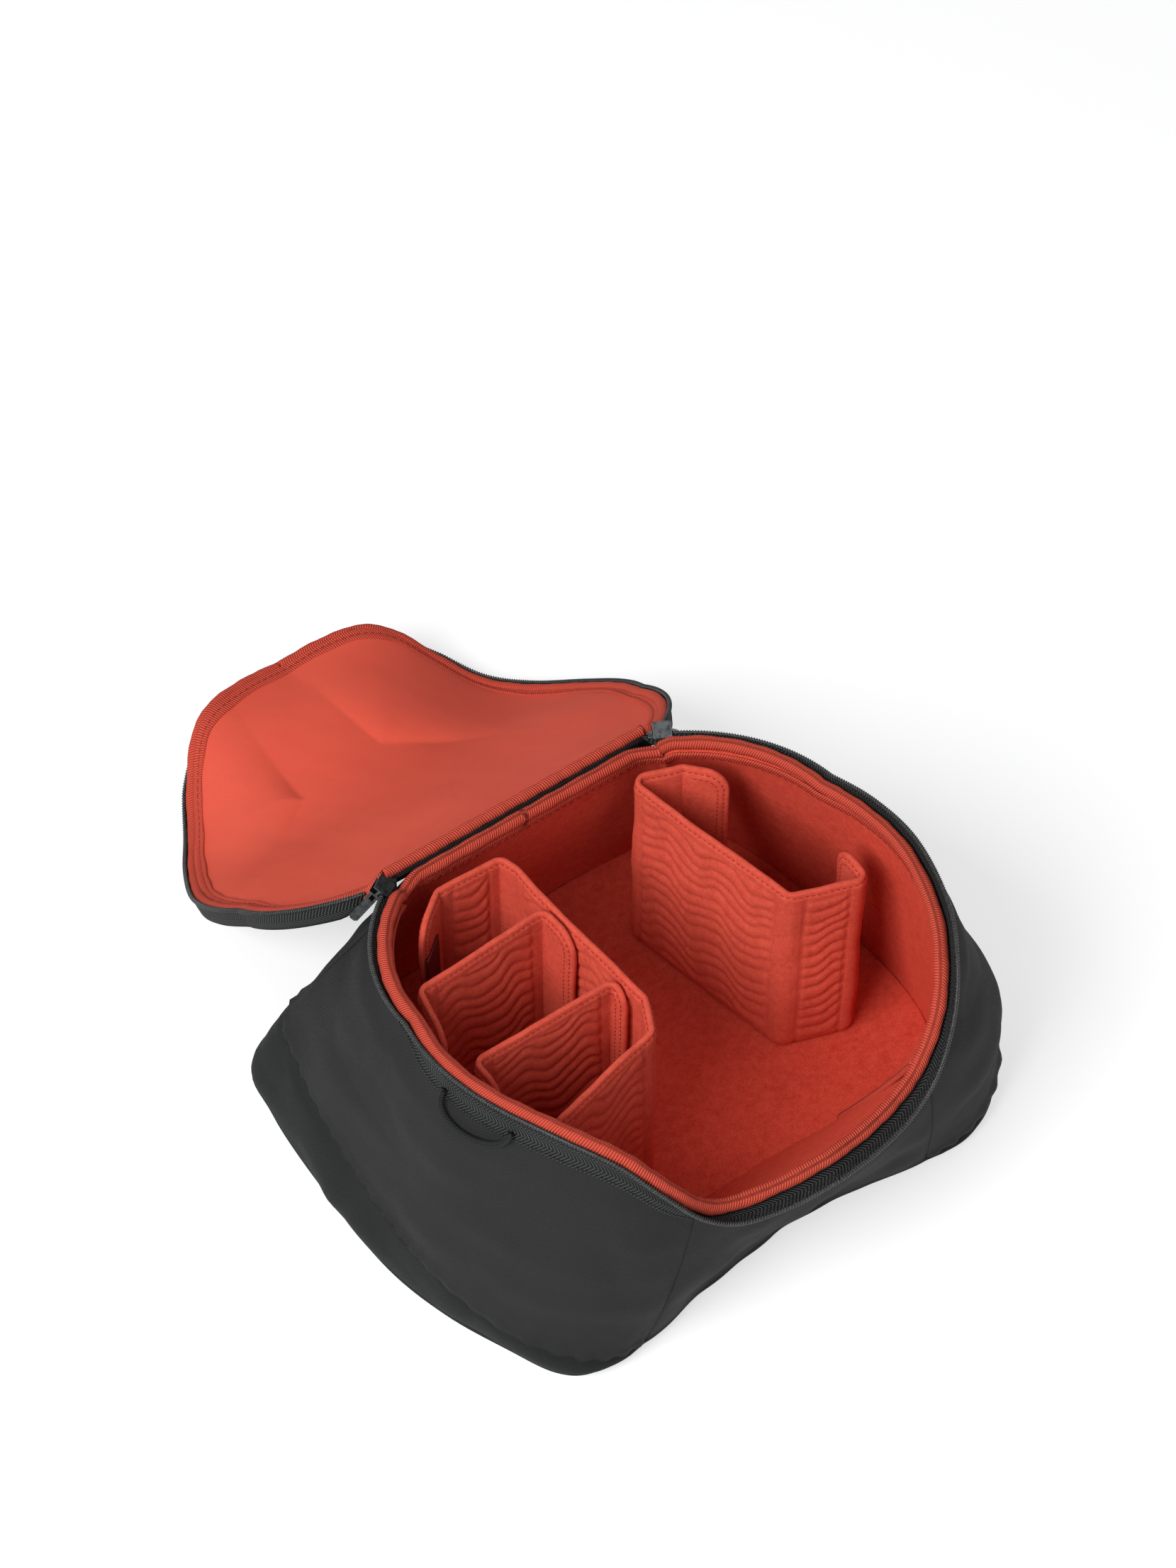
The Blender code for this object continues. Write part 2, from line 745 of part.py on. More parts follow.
def corner_bindings():
    """The short bound seams down the front inside corners, between the side and front linings."""
    for name, side in (("right_corner_binding", 1), ("left_corner_binding", -1)):
        points = []
        for step in range(CORNER_BINDING_STEPS + 1):
            rib = between(CORNER_BINDING_RIBS, step / CORNER_BINDING_STEPS)
            at = rib if side > 0 else 2 * RIBS - rib
            height = between(CORNER_BINDING_HEIGHT_SHARES, step / CORNER_BINDING_STEPS)
            _, into = top_axes(at)
            points.append(pad_inside(at, height) + into * (CORNER_BINDING_RADIUS + 2 * CLEARANCE))
        tube(name, "red_binding", points, CORNER_BINDING_RADIUS)


def arc_rib(length):
    """The rib at a distance along the rim's corner arc from the end of the hinge."""
    turn = length / CORNER_RADIUS
    return REAR_SEAM_RIB + (ARC_END_RIB - REAR_SEAM_RIB) * turn / HINGE_TURN


def rim_run(first_rib):
    """Places along the zip from its right end round the front to its left end."""
    fine = ARC_END_RIB * ARC_STEPS_PER_RIB
    steps = [step / ARC_STEPS_PER_RIB for step in range(fine)]
    steps += [ARC_END_RIB + step / STEPS_PER_RIB for step in range((RIBS - ARC_END_RIB) * STEPS_PER_RIB + 1)]
    ribs = [first_rib] + [rib for rib in steps if rib > first_rib + SHORTEST_STEP]
    return ribs + [2 * RIBS - rib for rib in reversed(ribs[:-1])]


def square_off(toward, at):
    """A unit direction square to the rim, from one that may lean along it."""
    rib, side = round_body(at)
    along = mirrored(rim_tangent(rib), side)
    square = toward - along * np.dot(toward, along)
    return square / np.linalg.norm(square)


def chorded(line, at):
    """A line round the body as its straight spans between the panels' columns."""
    low = math.floor(at * STEPS_PER_RIB) / STEPS_PER_RIB
    first = max(low, REAR_SEAM_RIB)
    last = min(low + 1 / STEPS_PER_RIB, 2 * RIBS - REAR_SEAM_RIB)
    part = (at - first) / (last - first)
    return line(first) * (1 - part) + line(last) * part


def ribbon(low, high, run, thick):
    """The two faces of a strip of tape between two lines, square to its own face."""
    middles = []
    for i, at in enumerate(run):
        ahead, behind = run[min(i + 1, len(run) - 1)], run[max(i - 1, 0)]
        along = low(ahead) + high(ahead) - low(behind) - high(behind)
        face = np.cross(along, high(at) - low(at))
        middles.append(face / np.linalg.norm(face) * thick / 2)
    outer = [[low(at) + off, high(at) + off] for at, off in zip(run, middles)]
    inner = [[low(at) - off, high(at) - off] for at, off in zip(run, middles)]
    return outer, inner


def body_zip():
    """The body's half of the zip: its tape, its coil, and a stop at each end of the coil."""
    start = arc_rib(CHAIN_START)
    run = rim_run(start)

    def edge(at):
        rib, side = round_body(at)
        return mirrored(rim_edge(rib), side)

    def top(at):
        rib, side = round_body(at)
        return mirrored(panel_top(rib), side)

    def lower(at):
        seam = chorded(top, at)
        toward = edge(at) - seam
        return seam + toward * 2 * CLEARANCE / np.linalg.norm(toward)

    def upper(at):
        toward = square_off(edge(at) - chorded(top, at), at)
        return edge(at) - toward * (CHAIN_RADIUS + CLEARANCE)

    outer, inner = ribbon(lower, upper, run, TAPE_THICK)
    slab("body_zip_tape", "zip_tape", outer, inner)
    tube("body_zip_coil", "zip_coil", [edge(at) for at in run], CHAIN_RADIUS)
    for name, side in (("right_zip_stop", 1), ("left_zip_stop", -1)):
        turn = HINGE_TURN - STOP_AT / CORNER_RADIUS
        size = (STOP_WIDTH, STOP_LENGTH, CHAIN_RADIUS * 2)
        box(name, "slider_metal", size, slider_frame(turn, side))


def slider_axes(turn, side):
    """Along the coil, across it away from the tape, and square to both, at a turn of the corner."""
    arm = corner_arm(turn)
    across = arm * math.cos(SLIDER_TILT) + CORNER_AXIS * math.sin(SLIDER_TILT)
    along = np.cross(CORNER_AXIS, arm)
    if side < 0:
        across, along = mirrored(across, side), -mirrored(along, side)
    return across, along, np.cross(across, along)


def slider_frame(turn, side):
    centre = mirrored(CORNER_CENTRE + CORNER_RADIUS * corner_arm(turn), side)
    across, along, square = slider_axes(turn, side)
    return frame_matrix(centre, across, along, square)


def box(name, look, size, matrix, parent=None, centre=(0.0, 0.0, 0.0)):
    mesh = bpy.data.meshes.new(name)
    shape = bmesh.new()
    bmesh.ops.create_cube(shape, size=1.0)
    bmesh.ops.scale(shape, vec=size, verts=shape.verts)
    bmesh.ops.translate(shape, vec=centre, verts=shape.verts)
    shape.to_mesh(mesh)
    shape.free()
    thing = put(bpy.data.objects.new(name, mesh), look, parent)
    thing.matrix_world = matrix
    return thing


def slider_profile():
    """The slider's section across the coil: two plates joined by a post beside the coil."""
    mouth = CHAIN_RADIUS + SLIDER_SLACK
    wide_mouth = mouth + SLIDER_SLACK / 2
    full = mouth + SLIDER_PLATE
    post_in = CHAIN_RADIUS + SLIDER_SLACK
    post_out = post_in + SLIDER_POST
    return [
        (-SLIDER_BACK, -full),
        (SLIDER_FRONT, -full),
        (SLIDER_FRONT, -wide_mouth),
        (post_out, -wide_mouth),
        (post_out, wide_mouth),
        (SLIDER_FRONT, wide_mouth),
        (SLIDER_FRONT, full),
        (-SLIDER_BACK, full),
        (-SLIDER_BACK, mouth),
        (post_in, mouth),
        (post_in, -mouth),
        (-SLIDER_BACK, -mouth),
    ]


def crown_profile():
    """The little bridge on the slider's outer plate, which holds the pull."""
    half, rise, bar = CROWN_SPAN / 2, CROWN_RISE, CROWN_BAR
    sunk = -SLIDER_PLATE / 2
    chamfer = bar
    return [
        (-half, sunk),
        (-half, rise - chamfer),
        (-half + chamfer, rise),
        (half - chamfer, rise),
        (half, rise - chamfer),
        (half, sunk),
        (half - bar, sunk),
        (half - bar, rise - bar - chamfer / 2),
        (half - bar - chamfer / 2, rise - bar),
        (-half + bar + chamfer / 2, rise - bar),
        (-half + bar, rise - bar - chamfer / 2),
        (-half + bar, sunk),
    ]


def crown_base():
    return CHAIN_RADIUS + SLIDER_SLACK + SLIDER_PLATE


def slider(side):
    """One slider on the body's coil, turning on the rear corner's axis, and its pull."""
    word = "right" if side > 0 else "left"
    turn = HINGE_TURN - SLIDER_AT / CORNER_RADIUS
    frame = slider_frame(turn, side)
    pivot = bpy.data.objects.new(word + "_slider_axis", None)
    PARTS.objects.link(pivot)
    pivot.matrix_world = Matrix.Translation(Vector(mirrored(CORNER_CENTRE, side)))
    plates = flat_plate(word + "_slider", [slider_profile()], SLIDER_LENGTH / 2)
    plates.transform(Matrix.Rotation(QUARTER_TURN, 4, "X"))
    body = put(bpy.data.objects.new(word + "_slider", plates), "slider_metal", pivot)
    crown = flat_plate(word + "_slider_crown", [crown_profile()], CROWN_WIDTH / 2)
    upright_turn = Matrix.Rotation(QUARTER_TURN, 4, "Z") @ Matrix.Rotation(QUARTER_TURN, 4, "X")
    crown.transform(upright_turn)
    low = bpy.data.objects.new(word + "_slider_crown", crown)
    CUTTERS.objects.link(low)
    low.display_type = "WIRE"
    low.hide_render = True
    bpy.context.view_layer.update()
    body.matrix_world = frame
    flip = outer_face_sign(frame)
    seat = Matrix.Translation((crown_offset(), 0.0, crown_base() * flip))
    low.matrix_world = frame @ seat @ crown_turn(flip)
    join = body.modifiers.new("crown", "BOOLEAN")
    join.operation = "UNION"
    join.object = low
    slider_pull(word, side, frame, flip, body)


def outer_face_sign(frame):
    """Which of the slider's faces looks down and out of the bag: 1 or -1 along its third axis."""
    return -1.0 if frame.col[2][2] > 0 else 1.0


def crown_offset():
    return (SLIDER_FRONT - SLIDER_BACK) / 2


def crown_turn(flip):
    return Matrix.Identity(4) if flip > 0 else Matrix.Rotation(math.pi, 4, "Y")


def slider_pull(word, side, frame, flip, body):
    """The flat pull, hanging from the slider: a bar through the crown, a window, and a tab."""
    half_bar = PULL_BAR / 2
    half_width, half_window = PULL_WIDTH / 2, PULL_WINDOW_WIDTH / 2
    window_end = half_bar + PULL_WINDOW_LENGTH
    tip = PULL_LENGTH
    chamfer = PULL_WIDTH / 4
    outline = [
        (-half_width, -half_bar),
        (half_width, -half_bar),
        (half_width, tip - chamfer),
        (half_width - chamfer, tip),
        (-half_width + chamfer, tip),
        (-half_width, tip - chamfer),
    ]
    window = [
        (-half_window, half_bar),
        (-half_window, window_end),
        (half_window, window_end),
        (half_window, half_bar),
    ]
    mesh = flat_plate(word + "_pull", [outline, window], half_bar)
    pull = put(bpy.data.objects.new(word + "_pull", mesh), "slider_metal", body)
    height = crown_base() + (CROWN_RISE - CROWN_BAR) / 2
    across = Vector(frame.col[0][:3])
    forward = Vector(frame.col[1][:3]) * -side
    away = Vector(frame.col[2][:3]) * flip
    hanging = forward * math.cos(PULL_HANG) + away * math.sin(PULL_HANG)
    origin = frame @ Vector((crown_offset(), 0.0, height * flip))
    bpy.context.view_layer.update()
    pull.matrix_world = frame_matrix(origin, across, hanging, across.cross(hanging))


HINGE_POINT = placed(0.0, 0.0, HINGE_HEIGHT)


def hinge_fold():
    """The rolled fold of cloth that the lid turns on."""
    half = HINGE_HALF_LENGTH - FOLD_END_SETBACK
    points = [HINGE_POINT - np.array([half, 0.0, 0.0]), HINGE_POINT + np.array([half, 0.0, 0.0])]
    tube("hinge_fold", "shell_cloth", points, FOLD_RADIUS, sides=2)


def lid_axis():
    """The empty on the hinge's axis that carries the lid, thrown open."""
    axis = bpy.data.objects.new("lid_axis", None)
    PARTS.objects.link(axis)
    axis.location = HINGE_POINT
    axis.rotation_euler = (-LID_OPEN_ANGLE, 0.0, 0.0)
    return axis


def lid_edge(rib):
    """The free edge of the lid's zip, with the lid shut: just over the body's."""
    return rim_edge(rib) + rim_up(rib) * (2 * CHAIN_RADIUS + LID_CHAIN_GAP)


def lid_pad_edge(rib):
    """The outline of the lid's lining, inside its bindings, with the lid shut."""
    off = LID_HINGE_BINDING_OFF + LID_HINGE_BINDING_RADIUS + CLEARANCE
    near = placed(0.0, off, HINGE_HEIGHT + FOLD_RADIUS / 2)
    near[0] = rim_edge(min(rib, REAR_SEAM_RIB))[0]
    if rib <= REAR_SEAM_RIB:
        return near
    wide = CHAIN_RADIUS + 2 * CLEARANCE + 2 * LID_BINDING_RADIUS
    far = lid_edge(rib) + inward(rib) * wide + rim_up(rib) * LID_BINDING_RISE
    part = blend(rib, REAR_SEAM_RIB, REAR_SEAM_RIB + LID_PAD_RIBS)
    return near * (1 - part) + far * part


def lid_pad_thick(rib):
    part = blend(rib, REAR_SEAM_RIB, REAR_SEAM_RIB + CORNER_BLEND_RIBS)
    return LID_PAD_HINGE_THICK * (1 - part) + LID_PAD_THICK * part


def relief(point):
    """How far the moulded relief stands out of the lining: it rises from a crease bent like a V."""
    front, bend, rear = plan(RELIEF_SHARES)
    here = np.array([abs(point[0]), point[1]]) - bend
    depths = []
    for arm, side in ((front - bend, 1), (rear - bend, -1)):
        arm = arm / np.linalg.norm(arm)
        depths.append(side * (arm[0] * here[1] - arm[1] * here[0]))
    rise = math.sin(QUARTER_TURN * min(max(min(depths) / RELIEF_SLOPE_WIDTH, 0.0), 1.0))
    return RELIEF_HEIGHT * rise * (1 - blend(np.linalg.norm(here), *RELIEF_REACH))


LID_CENTRE = placed(0.0, LID_CENTRE_DEPTH, HINGE_HEIGHT + LID_CROWN)


def lining_face(at, share):
    """The lining's face, from its outline at 1 to the middle of the lid at 0, with the lid shut."""
    rib, side = round_body(at)
    edge = mirrored(lid_pad_edge(rib), side)
    point = LID_CENTRE + (edge - LID_CENTRE) * share
    point[2] = LID_CENTRE[2] + (edge[2] - LID_CENTRE[2]) * share**CROWN_POWER
    return point


def lining_back(at, share):
    rib, _ = round_body(at)
    thick = lid_pad_thick(rib) * share + LID_PAD_THICK * (1 - share)
    return lining_face(at, share) + np.array([0.0, 0.0, thick])


def lid_top_edge(rib):
    """The underside of the shell's outer edge, over the lid's zip tape, with the lid shut."""
    pad = lid_pad_edge(rib)
    near = pad - inward(rib) * CLEARANCE + np.array([0.0, 0.0, lid_pad_thick(rib) + CLEARANCE])
    height = LID_EDGE_HEIGHT * blend(rib - REAR_SEAM_RIB, *LID_RISE_RIBS)
    far = lid_edge(rib) + inward(rib) * LID_EDGE_IN + rim_up(rib) * height
    part = blend(rib, REAR_SEAM_RIB, REAR_SEAM_RIB + LID_PAD_RIBS)
    return near * (1 - part) + far * part


def shell_under(at, share):
    """The shell's inner face: over the lining up to share 1, then out over the zip to share 2."""
    rib, side = round_body(at)
    if share <= 1:
        point = lining_back(at, share)
        rise = CLEARANCE + LID_DOME * (1 - share**2)
        return point + np.array([0.0, 0.0, rise])
    low = shell_under(at, 1.0)
    high = mirrored(lid_top_edge(rib), side)
    return low + (high - low) * (share - 1)


def shell_over(at, share):
    return shell_under(at, share) + np.array([0.0, 0.0, LID_SHELL_THICK])


def dish(name, look, lower, upper, columns, shares, parent):
    """A closed dish between two faces whose rings close on one middle point, in the lid's axes."""
    mesh = bpy.data.meshes.new(name)
    shape = bmesh.new()
    skins = []
    for face in (lower, upper):
        middle = shape.verts.new(face(0, 0.0) - HINGE_POINT)
        rings = [[shape.verts.new(face(at, share) - HINGE_POINT) for at in columns] for share in shares]
        for ring, wider in zip(rings, rings[1:]):
            for i in range(len(columns)):
                j = (i + 1) % len(columns)
                shape.faces.new((ring[i], ring[j], wider[j]))
                shape.faces.new((ring[i], wider[j], wider[i]))
        for i in range(len(columns)):
            shape.faces.new((middle, rings[0][(i + 1) % len(columns)], rings[0][i]))
        skins.append(rings[-1])
    for i in range(len(columns)):
        j = (i + 1) % len(columns)
        shape.faces.new((skins[0][i], skins[0][j], skins[1][j], skins[1][i]))
    bmesh.ops.recalc_face_normals(shape, faces=shape.faces)
    shape.to_mesh(mesh)
    shape.free()
    mesh.shade_smooth()
    mesh.set_sharp_from_angle(angle=SHARP_ANGLE)
    return put(bpy.data.objects.new(name, mesh), look, parent)


def lid_panels(axis):
    """The moulded lining with its reliefs, and the domed outer shell."""
    columns = round_places()
    rings = [(i + 1) / LID_RINGS for i in range(LID_RINGS)]

    def moulded(at, share):
        point = lining_face(at, share)
        point[2] -= relief(point)
        return point

    dish("lid_lining", "red_lining", moulded, lining_back, columns, rings, axis)
    dish("lid_shell", "shell_cloth", shell_under, shell_over, columns, rings + SHELL_EDGE_SHARES, axis)


def from_hinge(points):
    return [point - HINGE_POINT for point in points]


def lid_trim(axis):
    """The lid's bindings, its half of the zip, and the strip of cloth that hangs it."""

    def middle(at):
        rib, side = round_body(at)
        out = CHAIN_RADIUS + CLEARANCE + LID_BINDING_RADIUS
        point = lid_edge(rib) + inward(rib) * out + rim_up(rib) * LID_BINDING_RISE
        return mirrored(point, side)

    run = rim_run(LID_TRIM_START_RIB)
    points = from_hinge([middle(at) for at in run])
    tube("lid_binding", "red_binding", points, LID_BINDING_RADIUS, parent=axis)

    half = HINGE_HALF_LENGTH - FOLD_END_SETBACK
    off, rise = LID_HINGE_BINDING_OFF, LID_HINGE_BINDING_RISE
    ends = [np.array([-half, -off, rise]), np.array([half, -off, rise])]
    tube("lid_hinge_binding", "red_binding", ends, LID_HINGE_BINDING_RADIUS, parent=axis, sides=2)

    def edge(at):
        rib, side = round_body(at)
        return mirrored(lid_edge(rib), side)

    def top(at):
        rib, side = round_body(at)
        return mirrored(lid_top_edge(rib), side)

    def lower(at):
        toward = square_off(chorded(top, at) - edge(at), at)
        return edge(at) + toward * (CHAIN_RADIUS + CLEARANCE)

    def upper(at):
        seam = chorded(top, at)
        toward = seam - edge(at)
        return seam - toward * (2 * CLEARANCE + TAPE_THICK / 2) / np.linalg.norm(toward)

    outer, inner = ribbon(lower, upper, run, TAPE_THICK)
    outer = [from_hinge(line) for line in outer]
    inner = [from_hinge(line) for line in inner]
    slab("lid_zip_tape", "zip_tape", outer, inner, parent=axis)
    coil = from_hinge([edge(at) for at in rim_run(arc_rib(LID_CHAIN_START))])
    tube("lid_zip_coil", "zip_coil", coil, CHAIN_RADIUS, parent=axis)

    near = FOLD_RADIUS + CLEARANCE
    size = (2 * half, LID_STRIP_WIDTH, LID_STRIP_THICK)
    turn = Matrix.Rotation(math.pi - LID_STRIP_ANGLE, 4, "X")
    centre = (0.0, near + LID_STRIP_WIDTH / 2, 0.0)
    strip = box("lid_hinge_strip", "shell_cloth", size, Matrix.Identity(4), axis, centre)
    strip.matrix_basis = turn


def rounded(points, radius, steps=3):
    """A path with each inner corner rounded off by an arc."""
    points = [np.array(point) for point in points]
    path = [points[0]]
    for before, corner, after in zip(points, points[1:], points[2:]):
        back, ahead = before - corner, after - corner
        back, ahead = back / np.linalg.norm(back), ahead / np.linalg.norm(ahead)
        half = math.acos(np.dot(back, ahead)) / 2
        middle = corner + (back + ahead) / np.linalg.norm(back + ahead) * radius / math.sin(half)
        start = corner + back * radius / math.tan(half) - middle
        end = corner + ahead * radius / math.tan(half) - middle
        turn = math.pi - 2 * half
        for step in range(steps + 1):
            part = step / steps
            path.append(
                middle
                + start * math.sin((1 - part) * turn) / math.sin(turn)
                + end * math.sin(part * turn) / math.sin(turn)
            )
    return path + [points[-1]]


def band(path, left, right):
    """The outline of a strip along a plan path, between two distances to its left."""
    sides = ([], [])
    for i, here in enumerate(path):
        ahead, behind = path[min(i + 1, len(path) - 1)], path[max(i - 1, 0)]
        along = (ahead - behind) / np.linalg.norm(ahead - behind)
        normal = np.array([-along[1], along[0]])
        sides[0].append(here + normal * left)
        sides[1].append(here + normal * right)
    return sides[0] + sides[1][::-1]


FLOOR_TOP = BASE_THICK + CLEARANCE + FLOOR_THICK


def upright(name, look, path, left, right, low, high, parent=None):
    """A strip that stands upright along a plan path, from one height to another."""
    mesh = flat_plate(name, [band(path, left, right)], (high - low) / 2)
    thing = put(bpy.data.objects.new(name, mesh), look, parent)
    thing.location = (0.0, 0.0, (high + low) / 2)
    return thing


def end_piece(path, length):
    """The last stretch of a path, of a given length."""
    kept = [path[-1]]
    left = length
    for here, before in zip(path[::-1], path[-2::-1]):
        step = np.linalg.norm(before - here)
        if step >= left:
            kept.append(here + (before - here) * left / step)
            break
        kept.append(before)
        left -= step
    return kept[::-1]


def divider(name, shares, hooks):
    """A padded divider, folded at its ends, with its hook patches: (end, side of the path)."""
    path = rounded(plan(shares), DIVIDER_FOLD_RADIUS)
    half = DIVIDER_THICK / 2
    low = FLOOR_TOP + CLEARANCE
    board = upright(name, "red_quilt", path, half, -half, low, DIVIDER_TOP)
    for number, (end, side) in enumerate(hooks):
        run = path if end == "last" else path[::-1]
        side = side if end == "last" else -side
        piece = end_piece(run, HOOK_LENGTH)
        near, far = side * (half + CLEARANCE), side * (half + CLEARANCE + HOOK_THICK)
        foot = low + HOOK_RISE
        hook_name = name.replace("divider", "") + ("first_hook", "second_hook")[number]
        upright(hook_name, "red_hook", piece, near, far, foot, foot + HOOK_HEIGHT)


def dividers():
    divider("left_divider", LEFT_DIVIDER_SHARES, [("first", -1), ("last", -1)])
    divider("rear_cross_divider", REAR_CROSS_SHARES, [])
    divider("front_cross_divider", FRONT_CROSS_SHARES, [])
    divider("right_divider", RIGHT_DIVIDER_SHARES, [])


def side_loop():
    """The small corded loop sewn under the zip on the left side."""
    first, last = LOOP_RIBS
    points = []
    for step in range(LOOP_STEPS + 1):
        turn = math.pi * step / LOOP_STEPS
        rib = (first + last) / 2 - (last - first) / 2 * math.cos(turn)
        at = 2 * RIBS - rib
        top, foot = panel_outside(at, 1.0), panel_outside(at, 0.0)
        drop = LOOP_DROP * math.sin(turn) ** LOOP_POWER + LOOP_RADIUS
        share = 1 - drop / np.linalg.norm(top - foot)
        out = mirrored(inward(rib), -1) * (LOOP_RADIUS + 2 * CLEARANCE)
        points.append(panel_outside(at, share) - out)
    tube("side_loop", "zip_tape", points, LOOP_RADIUS)


base_panel()
floor_pad()
outer_panels()
wall_pads()
rim_binding()
corner_bindings()
body_zip()
slider(1)
slider(-1)
hinge_fold()
LID = lid_axis()
lid_panels(LID)
lid_trim(LID)
dividers()
side_loop()
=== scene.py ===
"""The looks of the camera bag insert: sewn cloth, foam, quilting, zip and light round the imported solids.

Metres, in the frame of the solids: +Z up, the hinge along X, the front of the bag faces -Y.
"""

import json
import math
from functools import lru_cache
from types import SimpleNamespace

import bmesh
import bpy
import numpy as np
from mathutils import Matrix, Vector


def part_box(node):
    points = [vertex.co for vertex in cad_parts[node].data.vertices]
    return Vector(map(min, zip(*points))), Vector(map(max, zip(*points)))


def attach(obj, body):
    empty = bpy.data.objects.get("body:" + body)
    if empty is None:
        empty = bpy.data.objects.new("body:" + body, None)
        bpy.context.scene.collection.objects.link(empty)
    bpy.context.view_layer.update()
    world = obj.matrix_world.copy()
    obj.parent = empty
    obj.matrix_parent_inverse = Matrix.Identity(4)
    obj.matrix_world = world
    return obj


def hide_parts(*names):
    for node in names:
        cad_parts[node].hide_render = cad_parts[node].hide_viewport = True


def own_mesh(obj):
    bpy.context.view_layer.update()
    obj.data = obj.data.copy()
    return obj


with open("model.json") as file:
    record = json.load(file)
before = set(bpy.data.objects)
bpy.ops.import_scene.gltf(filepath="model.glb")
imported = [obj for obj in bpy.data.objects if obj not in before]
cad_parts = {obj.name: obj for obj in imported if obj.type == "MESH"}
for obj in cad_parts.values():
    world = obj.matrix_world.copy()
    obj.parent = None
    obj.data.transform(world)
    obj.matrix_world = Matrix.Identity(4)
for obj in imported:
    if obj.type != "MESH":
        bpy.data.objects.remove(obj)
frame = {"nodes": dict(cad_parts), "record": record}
NODES = frame["nodes"]
BODY_OF = {node: body for body, nodes in frame["record"]["behaviour"]["bodies"].items() for node in nodes}
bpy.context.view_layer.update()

# The insert's sizes, as in its solids
RIM_HALF_WIDTH, RIM_DEPTH, BASE_HALF_WIDTH = 0.137, 0.261, 0.167
HINGE_HALF_LENGTH, HINGE_HEIGHT, HINGE_BEHIND_ORIGIN = 0.080, 0.140, 0.092
GUSSET_HEIGHT = 0.043
CORNER_RADIUS, CORNER_CENTRE_ASIDE, CORNER_RAKE = 0.102, 0.030, math.radians(9.1)
CLEARANCE, PANEL_THICK, BASE_THICK, FLOOR_THICK = 0.0003, 0.0016, 0.0025, 0.0080
PANEL_BULGE, GUSSET_BULGE, BELLY_RIBS = 0.0040, 0.0025, 1.5
RIGHT_SPREAD, FOOT_SPREAD_SHARE, SPREAD_RIBS = 0.0150, 0.3, (3.5, 10.0)
TAPE_WIDTH, TAPE_THICK, CHAIN_RADIUS, CHAIN_START = 0.0100, 0.0008, 0.0013, 0.0040
FOLD_RADIUS, FOLD_END_SETBACK = 0.0015, 0.0030
LID_OPEN_ANGLE, LID_STRIP_ANGLE = math.radians(208.5), math.radians(40.0)
LID_STRIP_WIDTH, LID_STRIP_THICK = 0.0098, 0.0008
LID_HINGE_BINDING_RADIUS, LID_HINGE_BINDING_OFF = 0.0022, 0.0055
LID_CHAIN_GAP, LID_CHAIN_START = 0.0006, 0.0155
LID_BINDING_RADIUS, LID_BINDING_RISE = 0.0024, 0.0024
LID_PAD_THICK, LID_PAD_HINGE_THICK, LID_SHELL_THICK = 0.0050, 0.0030, 0.0018
LID_CROWN, LID_DOME, LID_CENTRE_DEPTH, LID_EDGE_HEIGHT, LID_EDGE_IN = 0.0180, 0.0060, 0.130, 0.0090, 0.0015
DIVIDER_TOP, DIVIDER_THICK, DIVIDER_FOLD_RADIUS = 0.138, 0.0050, 0.0050
DIVIDER_FOOT = BASE_THICK + FLOOR_THICK + 2 * CLEARANCE
HOOK_THICK, HOOK_HEIGHT, HOOK_LENGTH, HOOK_RISE = 0.0010, 0.090, 0.018, 0.014
LOOP_RADIUS, LOOP_DROP, LOOP_RIBS = 0.0016, 0.015, (5.25, 6.40)
CORNER_SEAM_SHIFT, HINGE_END_RIBS = 0.14, 1 / 3
RIBS, REAR_SEAM_RIB = 13, 2
WALL_PARTS = 7
SEAM_SHARE = 2 / WALL_PARTS

# Outlines as shares of the sizes above, a row for each rib from the middle of the hinge to the middle of the
# front: aside, forward and, where there is a third, height. The rim's rows start past its round corner.
RIM_SHARES = [
    (0.993, 0.460, 1.143), (0.964, 0.594, 1.186), (0.861, 0.743, 1.207), (0.752, 0.839, 1.164),
    (0.650, 0.904, 1.043), (0.526, 0.946, 0.886), (0.380, 0.969, 0.793), (0.190, 0.989, 0.779),
    (0.000, 1.000, 0.793),
]
BASE_SHARES = [
    (0.000, -0.169), (0.450, -0.169), (0.886, -0.146), (0.970, -0.008), (1.000, 0.230),
    (1.000, 0.429), (0.952, 0.582), (0.874, 0.713), (0.802, 0.812), (0.707, 0.854),
    (0.551, 0.851), (0.347, 0.820), (0.168, 0.808), (0.000, 0.805),
]
SEAM_SHARES = [
    (0.000, -0.130, 1.00), (0.420, -0.126, 1.00), (0.790, -0.107, 1.00), (0.886, 0.038, 0.98),
    (0.946, 0.222, 0.98), (0.976, 0.402, 0.93), (0.970, 0.556, 0.84), (0.898, 0.728, 0.65),
    (0.790, 0.824, 0.45), (0.680, 0.868, 0.32), (0.545, 0.872, 0.24), (0.345, 0.842, 0.24),
    (0.168, 0.830, 0.24), (0.000, 0.826, 0.24),
]
FLOOR_SHARES = [
    (0.000, -0.115), (0.420, -0.115), (0.766, -0.084), (0.856, 0.000), (0.910, 0.190),
    (0.916, 0.402), (0.892, 0.556), (0.826, 0.659), (0.719, 0.709), (0.569, 0.713),
    (0.420, 0.705), (0.270, 0.697), (0.130, 0.693), (0.000, 0.693),
]
# The way down the zip tape, inwards and downwards, as shares of its width, from the hinge's end on
TAPE_SHARES = [
    (0.70, 0.62), (0.70, 0.62), (0.50, 0.84), (0.22, 0.95), (0.15, 0.97), (0.20, 0.95),
    (0.30, 0.90), (0.50, 0.80), (0.80, 0.50), (0.97, 0.20), (1.00, 0.10), (1.00, 0.10),
]
